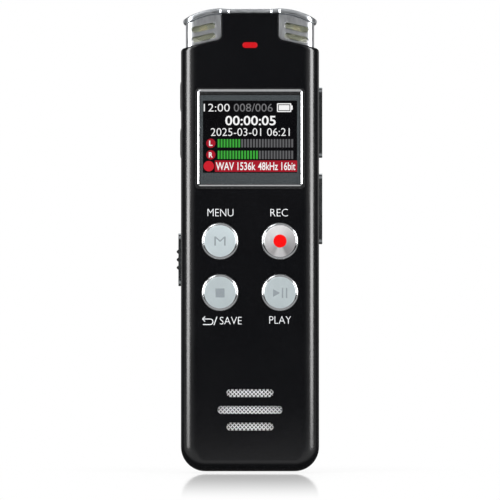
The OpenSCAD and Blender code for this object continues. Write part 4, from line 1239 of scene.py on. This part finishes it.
# %% Row tree
def row_tree():
    """Equal blocks in a row along X, as for meter bars and contacts."""
    group = bpy.data.node_groups.new("row", "GeometryNodeTree")
    group.interface.new_socket("Geometry", in_out="OUTPUT", socket_type="NodeSocketGeometry")
    ids = {"Count": socket_in(group, "Count", "NodeSocketInt", 10)}
    for label in ("Pitch", "Width", "Depth", "Height"):
        ids[label] = socket_in(group, label, "NodeSocketFloat", 0.001)
    ids["Material"] = socket_in(group, "Material", "NodeSocketMaterial")
    given = add(group, "NodeGroupInput")
    result = add(group, "NodeGroupOutput")
    offset = field(group, "ShaderNodeCombineXYZ", {"X": given.outputs["Pitch"]})
    line = field(group, "GeometryNodeMeshLine", {
        "Count": given.outputs["Count"], "Offset": offset.outputs[0]})
    size = field(group, "ShaderNodeCombineXYZ", {
        "X": given.outputs["Width"], "Y": given.outputs["Depth"], "Z": given.outputs["Height"]})
    block = field(group, "GeometryNodeMeshCube", {"Size": size.outputs[0]})
    placed = field(group, "GeometryNodeInstanceOnPoints", {
        "Points": line.outputs[0], "Instance": block.outputs[0]})
    real = field(group, "GeometryNodeRealizeInstances", {"Geometry": placed.outputs[0]})
    skin = field(group, "GeometryNodeSetMaterial", {
        "Geometry": real.outputs[0], "Material": given.outputs["Material"]})
    group.links.new(skin.outputs[0], result.inputs[0])
    return group, ids


ROW, ROW_IDS = row_tree()


def row(name, start, count, pitch, size, material):
    """A row of blocks of size (x, y, z) whose first one is centred on start."""
    piece = grow_tree(name, ROW, ROW_IDS, {
        "Count": count, "Pitch": pitch * MM, "Width": size[0] * MM, "Depth": size[1] * MM,
        "Height": size[2] * MM, "Material": material})
    for vertex in piece.data.vertices:
        vertex.co += Vector(start) * MM
    return piece


# %% Display picture
ACTIVE_W, ACTIVE_LOW, ACTIVE_HIGH = 20.4, 64.8, 80.45
active = round_rect(0, (ACTIVE_LOW + ACTIVE_HIGH) / 2, ACTIVE_W, ACTIVE_HIGH - ACTIVE_LOW, 0.1, 2)
settle(slab("picture_ground", active, LENS_FACE + 0.02, GLOW_OFF, 0.03), "casing", "panel_black")
PICTURE = LENS_FACE - 0.01
CLOCK_Z, TIMER_Z, DATE_Z, LEFT_Z, RIGHT_Z, FORMAT_Z = 78.92, 76.12, 73.64, 71.2, 68.69, 66.24
battery_mark = [
    slab("gauge", round_rect(7.4, CLOCK_Z, 3.1, 1.9, 0.2, 3), PICTURE, GLOW_WHITE),
    slab("gauge", round_rect(9.07, CLOCK_Z, 0.36, 0.95, 0.12, 3), PICTURE, GLOW_WHITE),
    slab("gauge", round_rect(7.4, CLOCK_Z, 2.3, 1.1, 0.05, 3), PICTURE - 0.02, GLOW_WHITE),
]
gap = slab("picture_gauge_gap", round_rect(7.4, CLOCK_Z, 2.64, 1.44, 0.1, 3), PICTURE - 0.01, GLOW_OFF)
settle(gap, "casing", "panel_black")
white = battery_mark + [
    letters("12:00", (-7.21, CLOCK_Z), 5.64, 1.7, PICTURE, GLOW_WHITE, -0.006),
    letters("00:00:05", (0.11, TIMER_Z), 10.95, 2.1, PICTURE, GLOW_WHITE, 0.015),
    letters("2025-03-01 06:21", (0.05, DATE_Z), 17.1, 1.7, PICTURE, GLOW_WHITE, -0.006),
]
settle(join("picture_white", white), "casing", "panel_black")
counter = letters("008/006", (0.7, CLOCK_Z), 8.45, 1.75, PICTURE, GLOW_GREY)
counter.name = "picture_counter"
settle(counter, "casing", "panel_black")

# %% Level meters and format line
METER_X, METER_PITCH, METER_COUNT, BAR_W, METER_H = -6.8, 0.638, 26, 0.4, 1.8
for name, z, lit_bars in (("left", LEFT_Z, 8), ("right", RIGHT_Z, 14)):
    size = (BAR_W, PRINT_T, METER_H)
    start = (METER_X, PICTURE - PRINT_T / 2, z)
    rest = (METER_X + lit_bars * METER_PITCH, start[1], z)
    settle(row(f"meter_{name}_on", start, lit_bars, METER_PITCH, size, GLOW_GREEN), "casing", "panel_black")
    settle(row(f"meter_{name}_off", rest, METER_COUNT - lit_bars, METER_PITCH, size, GLOW_BAR),
           "casing", "panel_black")
RAISED = PICTURE - PRINT_T
dots = [slab("dot", circle(-8.5, z, 1.0, 32), PICTURE, GLOW_RED) for z in (LEFT_Z, RIGHT_Z)]
dots.append(slab("dot", round_rect(1.3, FORMAT_Z, 17.85, 2.45, 0.1, 2), PICTURE, GLOW_RED))
settle(join("picture_red", dots), "casing", "panel_black")
settle(slab("picture_record_dot", circle(-8.94, FORMAT_Z, 1.13, 36), PICTURE, GLOW_DOT),
       "casing", "panel_black")
marks = [
    letters("L", (-8.5, LEFT_Z), 0.75, 1.15, RAISED, GLOW_WHITE, 0.03),
    letters("R", (-8.5, RIGHT_Z), 0.85, 1.15, RAISED, GLOW_WHITE, 0.03),
    letters("WAV 1536k", (-3.1, FORMAT_Z), 8.6, 1.75, RAISED, GLOW_WHITE, 0.012),
    letters("48kHz 16bit", (5.8, FORMAT_Z), 8.1, 1.75, RAISED, GLOW_WHITE, 0.012),
]
settle(join("picture_marks", marks), "casing", "panel_black")

# %% [markdown]
# ## Printed labels
# The words by the keys are white print. Each is a text curve turned into a mesh and scaled to the
# size of its print; the return arrow is drawn as a line of even width. They stand a hundredth of a
# millimetre proud, like real ink.

# %% Labels
ink = FINISH["print_white"]
INK_T = 0.01
labels = [
    letters("MENU", (-6.41, 56.16), 5.6, 1.6, FRONT, ink, -0.016, INK_T),
    letters("REC", (6.32, 56.16), 3.77, 1.62, FRONT, ink, -0.016, INK_T),
    letters("SAVE", (-4.16, 32.75), 4.75, 1.62, FRONT, ink, -0.016, INK_T),
    letters("PLAY", (6.55, 32.9), 4.7, 1.6, FRONT, ink, -0.016, INK_T),
]
LINE_W = 0.17
BEND_X, BEND_Z, BEND_R = -8.62, 32.5, 0.6
path = [(-10.2, BEND_Z + BEND_R)] + arc(BEND_X, BEND_Z, BEND_R, 90, -90, 10) + [(-10.2, BEND_Z - BEND_R)]
head = [(-9.75, BEND_Z + BEND_R + 0.55), (-10.3, BEND_Z + BEND_R), (-9.75, BEND_Z + BEND_R - 0.55)]
slash = [(-7.82, 31.8), (-7.16, 33.6)]
labels += [slab("arrow", stroke(line, LINE_W), FRONT, ink, INK_T) for line in (path, head, slash)]
settle(join("printed_labels", labels), "casing", "shell_black")

# %% [markdown]
# ## Front buttons
# Each button is turned like a part on a lathe: a nearly flat satin face, a polished chamfer round
# it, a straight side and a flange that keeps it in the shell. The record button's face has fine spun
# grain and a painted sheen: its colour is lighter towards the top and darker below, with a painted
# highlight streak under the middle. It carries a raised red dot.

# %% Spun grain and painted sheen group
spun_grain_and_sheen_group, given, result = new_group(
    "spun_face",
    [("Vector", "NodeSocketVector", None), ("Centre", "NodeSocketVector", (0, 0, 0)),
     ("Streaks", "NodeSocketFloat", 22.0)],
    ["Mask"],
)
offset = add(spun_grain_and_sheen_group, "ShaderNodeVectorMath", operation="SUBTRACT")
spun_grain_and_sheen_group.links.new(given.outputs["Vector"], offset.inputs[0])
spun_grain_and_sheen_group.links.new(given.outputs["Centre"], offset.inputs[1])
parts = add(spun_grain_and_sheen_group, "ShaderNodeSeparateXYZ")
spun_grain_and_sheen_group.links.new(offset.outputs[0], parts.inputs[0])
angle = math_node(spun_grain_and_sheen_group, "ARCTAN2", parts.outputs["X"], parts.outputs["Z"])
# Painted sheen: the colour is lighter towards the top and darker towards the bottom. Painted streak: a
# highlight line straight below the middle. Only the fine noise along the angle is the spun grain itself.
LEAN, SHEEN, PAINTED_STREAK, FINE = 0.35, 0.42, 0.55, 0.12
sheen = math_node(spun_grain_and_sheen_group, "COSINE", math_node(spun_grain_and_sheen_group, "ADD", angle, LEAN))
painted_streak = ramp(spun_grain_and_sheen_group, math_node(spun_grain_and_sheen_group, "COSINE", angle), -0.99, -0.86, PAINTED_STREAK, 0.0)
turns = math_node(spun_grain_and_sheen_group, "MULTIPLY", angle, given.outputs["Streaks"])
spin = add(spun_grain_and_sheen_group, "ShaderNodeCombineXYZ")
spun_grain_and_sheen_group.links.new(turns, spin.inputs["X"])
fine = noise_mask(spun_grain_and_sheen_group, spin.outputs[0], 1.0, 2.0, 0.3, 0.7)
blend = math_node(spun_grain_and_sheen_group, "MULTIPLY_ADD", fine, FINE, math_node(spun_grain_and_sheen_group, "MULTIPLY", sheen, SHEEN))
blend = math_node(spun_grain_and_sheen_group, "ADD", blend, painted_streak)
spun_grain_and_sheen_group.links.new(math_node(spun_grain_and_sheen_group, "ADD", blend, 0.4), result.inputs["Mask"])


def paint_spun_sheen(material, centre, dark, bright):
    """Paint a sheen into a finish's colour round a centre: lighter towards the top, a highlight streak below,
    over fine spun grain.
    """
    tree = material.node_tree
    shader = tree.nodes["Principled BSDF"]
    coords = [n for n in tree.nodes if n.type == "TEX_COORD"][0]
    node = add(tree, "ShaderNodeGroup", node_tree=spun_grain_and_sheen_group)
    node.inputs["Centre"].default_value = centre
    tree.links.new(coords.outputs["Object"], node.inputs["Vector"])
    tree.links.new(mix_colour(tree, node.outputs["Mask"], dark, bright), shader.inputs["Base Color"])


# The dark and bright colours are the painted shade and the painted highlight of the record button's face.
paint_spun_sheen(FINISH["record_silver"], middle("record_button") * MM, tone(150, 148, 150), tone(250, 249, 250))

# %% Turn the buttons
FACE_R, SIDE_R = 3.45, 4.05
RIM_DROP, RIM_STEPS = 0.46, 9


def turned(name, centre, section, *materials):
    """A turned piece: section is (radius, y) from the front to the back."""
    piece = loft(name, [(y, circle(centre.x, centre.z, r, 72)) for r, y in section], material=materials[0])
    for material in materials[1:]:
        piece.data.materials.append(material)
    return piece


def make_button(name, face_finish):
    low, high = span(f"{name}_button")
    centre = middle(f"{name}_button")
    face, flange_r = low.y + 0.02, (high.x - low.x) / 2
    section = [(0.4, face), (2.0, face), (FACE_R - 0.2, face), (FACE_R - 0.03, face + 0.012)]
    for i in range(RIM_STEPS + 1):
        a = math.radians(12 + 70 * i / RIM_STEPS)
        out = (math.sin(a) - math.sin(math.radians(12))) / (1 - math.sin(math.radians(12)))
        section.append((FACE_R + (SIDE_R - FACE_R) * out, face + 0.02 + RIM_DROP * (1 - math.cos(a))))
    section += [(SIDE_R, face + RIM_DROP + 0.1), (SIDE_R, high.y - 0.5),
                (flange_r, high.y - 0.5), (flange_r, high.y)]
    button = turned(f"{name}_cap", centre, section, face_finish, FINISH["rim_polish"])
    for polygon in button.data.polygons:
        x, y, z = polygon.center / MM
        if math.hypot(x - centre.x, z - centre.z) > FACE_R - 0.02:
            polygon.material_index = 1
    shade(button, 24)
    settle(button, f"{name}_key", f"{'record' if name == 'record' else 'button'}_silver", f"{name}_button")
    return face, centre


# Stop and play take the darker copy of the button silver, which is painted shade.
FACE_FINISH = {"menu": "button_silver", "record": "record_silver",
               "stop": "button_grey", "play": "button_grey"}
faces = {name: make_button(name, FINISH[FACE_FINISH[name]]) for name in BUTTONS}

# %% Red dot and engraved marks
dot_low, dot_high = span("record_dot")
dot_r = (dot_high.x - dot_low.x) / 2
dot = turned("red_dot", middle("record_dot"), [
    (0.3, dot_low.y), (0.9, dot_low.y + 0.004), (dot_r - 0.12, dot_low.y + 0.012),
    (dot_r - 0.02, dot_low.y + 0.03), (dot_r, dot_low.y + 0.07), (dot_r, dot_high.y)], FINISH["dot_red"])
shade(dot)
settle(dot, "record_key", "dot_red", "record_dot")

FINISH["engraving"] = finish(
    "engraving", tone(130, 138, 143), tone(140, 148, 153), (0.5, 0.58), 0.6, grain=(10, 10, 10))
mark = FINISH["engraving"]
MARK_T = 0.012
face, spot = faces["menu"]
letter = letters("M", (spot.x, spot.z), 2.45, 1.95, face + 0.005, mark, -0.006, MARK_T)
letter.name = "menu_mark"
settle(letter, "menu_key", "button_silver")
face, spot = faces["stop"]
settle(slab("stop_mark", round_rect(spot.x, spot.z - 0.1, 1.95, 1.95, 0.05, 2), face + 0.005, mark, MARK_T),
       "stop_key", "button_silver")
face, spot = faces["play"]
triangle = [(spot.x - 1.5, spot.z - 0.95), (spot.x, spot.z - 0.1), (spot.x - 1.5, spot.z + 0.75)]
pause = [round_rect(spot.x + x, spot.z - 0.1, 0.3, 2.2, 0.05, 2) for x in (0.55, 1.42)]
marks = [slab("mark", outline, face + 0.005, mark, MARK_T) for outline in [triangle] + pause]
settle(join("play_mark", marks), "play_key", "button_silver")

# %% [markdown]
# ## Status light and side keys
# The light is a clear red bar with a softly domed front. The rockers on the right and the keys on
# the left are lofts across the body's width: a rounded outline that draws in at the outer face, so
# their ends catch the light. The slide knob adds three small black ribs for the thumb.

# %% Status light
light_z = middle("light_pipe").z


def light_outline(grow):
    return round_rect(0, light_z, LIGHT_W + 2 * grow, LIGHT_H + 2 * grow, LIGHT_H / 2 + grow - 0.01)


pipe = loft("light_bar", [
    (FRONT, light_outline(-0.16)), (FRONT + 0.02, light_outline(-0.07)), (FRONT + 0.06, light_outline(-0.02)),
    (FRONT + 0.12, light_outline(0.0)), (FRONT + WALL, light_outline(0.0)),
    (FRONT + WALL, light_outline(0.3)), (FRONT + WALL + 0.4, light_outline(0.3)),
    (FRONT + WALL + 0.4, light_outline(-0.2)), (light_high.y, light_outline(-0.2))],
    material=FINISH["light_red"])
shade(pipe)
settle(pipe, "casing", "light_red", "light_pipe")

# %% Rockers
KEY_W = 3.2
ROCKER_EDGE = [(0.0, 0.06), (0.012, 0.025), (0.04, 0.0)]


def key_outline(z, length, grow, radius):
    return round_rect(KEY_Y, z, KEY_W + 2 * grow, length + 2 * grow, radius + grow, 10)


FLANGE_OUT = HALF_W - WALL - 0.35
FLANGE_IN = FLANGE_OUT - 0.55


def make_rocker(name, body):
    low, high = span(name)
    z, length = (low.z + high.z) / 2, high.z - low.z - 1.0
    bar = [(high.x - d, key_outline(z, length, -i, 1.25)) for d, i in ROCKER_EDGE]
    bar += [(FLANGE_OUT, key_outline(z, length, 0, 1.25)), (FLANGE_OUT, key_outline(z, length, 0.5, 1.25)),
            (FLANGE_IN, key_outline(z, length, 0.5, 1.25))]
    hub = [(FLANGE_IN + 0.1, round_rect(KEY_Y, z, 2.6, 2.1, 0.5)),
           (low.x, round_rect(KEY_Y, z, 2.6, 2.1, 0.5))]
    rocker = join(f"{name}_bar", [
        loft("bar", bar, "x", FINISH["rocker_metal"]), loft("hub", hub, "x", FINISH["rocker_metal"])])
    shade(rocker)
    settle(rocker, body, "rocker_metal", name)


make_rocker("volume_rocker", "volume_key")
make_rocker("skip_rocker", "skip_key")

# %% Domed keys
DOME = [(0.0, 1.3), (0.02, 0.9), (0.06, 0.5), (0.13, 0.22), (0.24, 0.07), (0.4, 0.0)]
for name in ("mark", "repeat"):
    low, high = span(f"{name}_button")
    z, length = (low.z + high.z) / 2, high.z - low.z - 1.1
    levels = [(low.x + d, key_outline(z, length, -i, 1.5)) for d, i in DOME]
    levels += [(high.x - 0.55, key_outline(z, length, 0, 1.5)),
               (high.x - 0.55, key_outline(z, length, 0.5, 1.5)),
               (high.x, key_outline(z, length, 0.5, 1.5))]
    key = loft(f"{name}_dome", levels, "x", FINISH["key_black"])
    shade(key)
    settle(key, f"{name}_key", "key_black", f"{name}_button")

# %% Slide knob
knob_low, knob_high = span("slide_knob")
knob_z = (knob_low.z + knob_high.z) / 2
knob_l = knob_high.z - knob_low.z
PLATE_OUT, PLATE_IN = -HALF_W - 0.58, -HALF_W - 0.05
RIB_PITCH, RIB_H, RIB_L = 1.73, 1.15, 3.0
plate = [(PLATE_OUT + d, key_outline(knob_z, knob_l, -i, 1.4)) for d, i in ROCKER_EDGE]
plate.append((PLATE_IN, key_outline(knob_z, knob_l, 0, 1.4)))
stem_outline = round_rect(KEY_Y, 45.8, 1.8, 3.2, 0.3)
parts = [
    loft("plate", plate, "x", FINISH["knob_metal"]),
    loft("stem", [(PLATE_IN - 0.1, stem_outline), (knob_high.x, stem_outline)], "x", FINISH["knob_metal"]),
]
knob = shade(join("slide_plate", parts))
settle(knob, "slide_key", "knob_metal", "slide_knob")
ribs = []
for i in (-1, 0, 1):
    z = knob_z + i * RIB_PITCH
    section = [(PLATE_OUT + 0.12, z - RIB_H / 2), (knob_low.x + 0.07, z - 0.2), (knob_low.x, z - 0.1),
               (knob_low.x, z + 0.1), (knob_low.x + 0.07, z + 0.2), (PLATE_OUT + 0.12, z + RIB_H / 2)]
    ends = (KEY_Y - RIB_L / 2, KEY_Y + RIB_L / 2)
    ribs.append(loft("rib", [(y, section) for y in ends], "y", FINISH["key_black"]))
ribs = shade(join("slide_ribs", ribs))
settle(ribs, "slide_key", "key_black")

# %% [markdown]
# ## Cover screws
# Four identical cross-head screws hold the rear cup. One is turned and its cross cut out; Geometry
# Nodes then place it on the corners of a rectangle.

# %% Make the screws
SCREW_R = 0.6


def make_screw():
    """One screw at the origin with its head up along Z."""
    head_t = 0.8
    section = [(1.15, 0.0), (1.38, -0.06), (1.49, -0.2), (SCREW_HEAD_R, -0.34), (SCREW_HEAD_R, -head_t),
               (SCREW_R, -head_t), (SCREW_R, -4.9), (0.35, -5.1)]
    screw = loft("screw", [(z, circle(0, 0, r, 40)) for r, z in section], "z", FINISH["screw_steel"])
    blades = []
    for wide, deep in ((1.8, 0.3), (0.3, 1.8)):
        top, foot = round_rect(0, 0, wide, deep, 0.05, 2), round_rect(0, 0, wide * 0.6, deep * 0.6, 0.03, 2)
        blades.append(loft("tool", [(0.4, top), (-0.05, top), (-0.5, foot)], "z"))
    for blade in blades:
        cut(screw, [blade])
    return shade(screw, 30)


def corners_tree():
    """One object on each corner of a rectangle."""
    group = bpy.data.node_groups.new("corners", "GeometryNodeTree")
    group.interface.new_socket("Geometry", in_out="OUTPUT", socket_type="NodeSocketGeometry")
    ids = {
        "Part": socket_in(group, "Part", "NodeSocketObject"),
        "Width": socket_in(group, "Width", "NodeSocketFloat", 0.01),
        "Height": socket_in(group, "Height", "NodeSocketFloat", 0.01),
        "Material": socket_in(group, "Material", "NodeSocketMaterial"),
    }
    given = add(group, "NodeGroupInput")
    result = add(group, "NodeGroupOutput")
    grid = field(group, "GeometryNodeMeshGrid", {
        "Size X": given.outputs["Width"], "Size Y": given.outputs["Height"],
        "Vertices X": 2, "Vertices Y": 2})
    info = field(group, "GeometryNodeObjectInfo", {"Object": given.outputs["Part"]})
    placed = field(group, "GeometryNodeInstanceOnPoints", {
        "Points": grid.outputs["Mesh"], "Instance": info.outputs["Geometry"]})
    real = field(group, "GeometryNodeRealizeInstances", {"Geometry": placed.outputs[0]})
    skin = field(group, "GeometryNodeSetMaterial", {
        "Geometry": real.outputs[0], "Material": given.outputs["Material"]})
    group.links.new(skin.outputs[0], result.inputs[0])
    return group, ids


CORNERS, CORNER_IDS = corners_tree()
screw = make_screw()
screws_high = span("cover_screws")[1]
wide, tall = 2 * cover_screw_spots[-1][0], cover_screw_spots[1][1] - cover_screw_spots[0][1]
screws = grow_tree("cover_screw_set", CORNERS, CORNER_IDS, {
    "Part": screw, "Width": wide * MM, "Height": tall * MM, "Material": FINISH["screw_steel"]})
bpy.data.objects.remove(screw)
mid_z = (cover_screw_spots[0][1] + cover_screw_spots[1][1]) / 2
for vertex in screws.data.vertices:
    x, y, z = vertex.co
    vertex.co = (x, screws_high.y * MM + z, mid_z * MM - y)
settle(screws, "casing", "screw_steel", "cover_screws")

# %% [markdown]
# ## Finish up
# The CAD nodes that still show get their finishes by slot.

# %% Finishes for the CAD nodes
for row_of in frame["record"]["subparts"]:
    piece = frame["nodes"][row_of["node"]]
    for holder in piece.material_slots:
        holder.material = FINISH[row_of["material_slot"]]
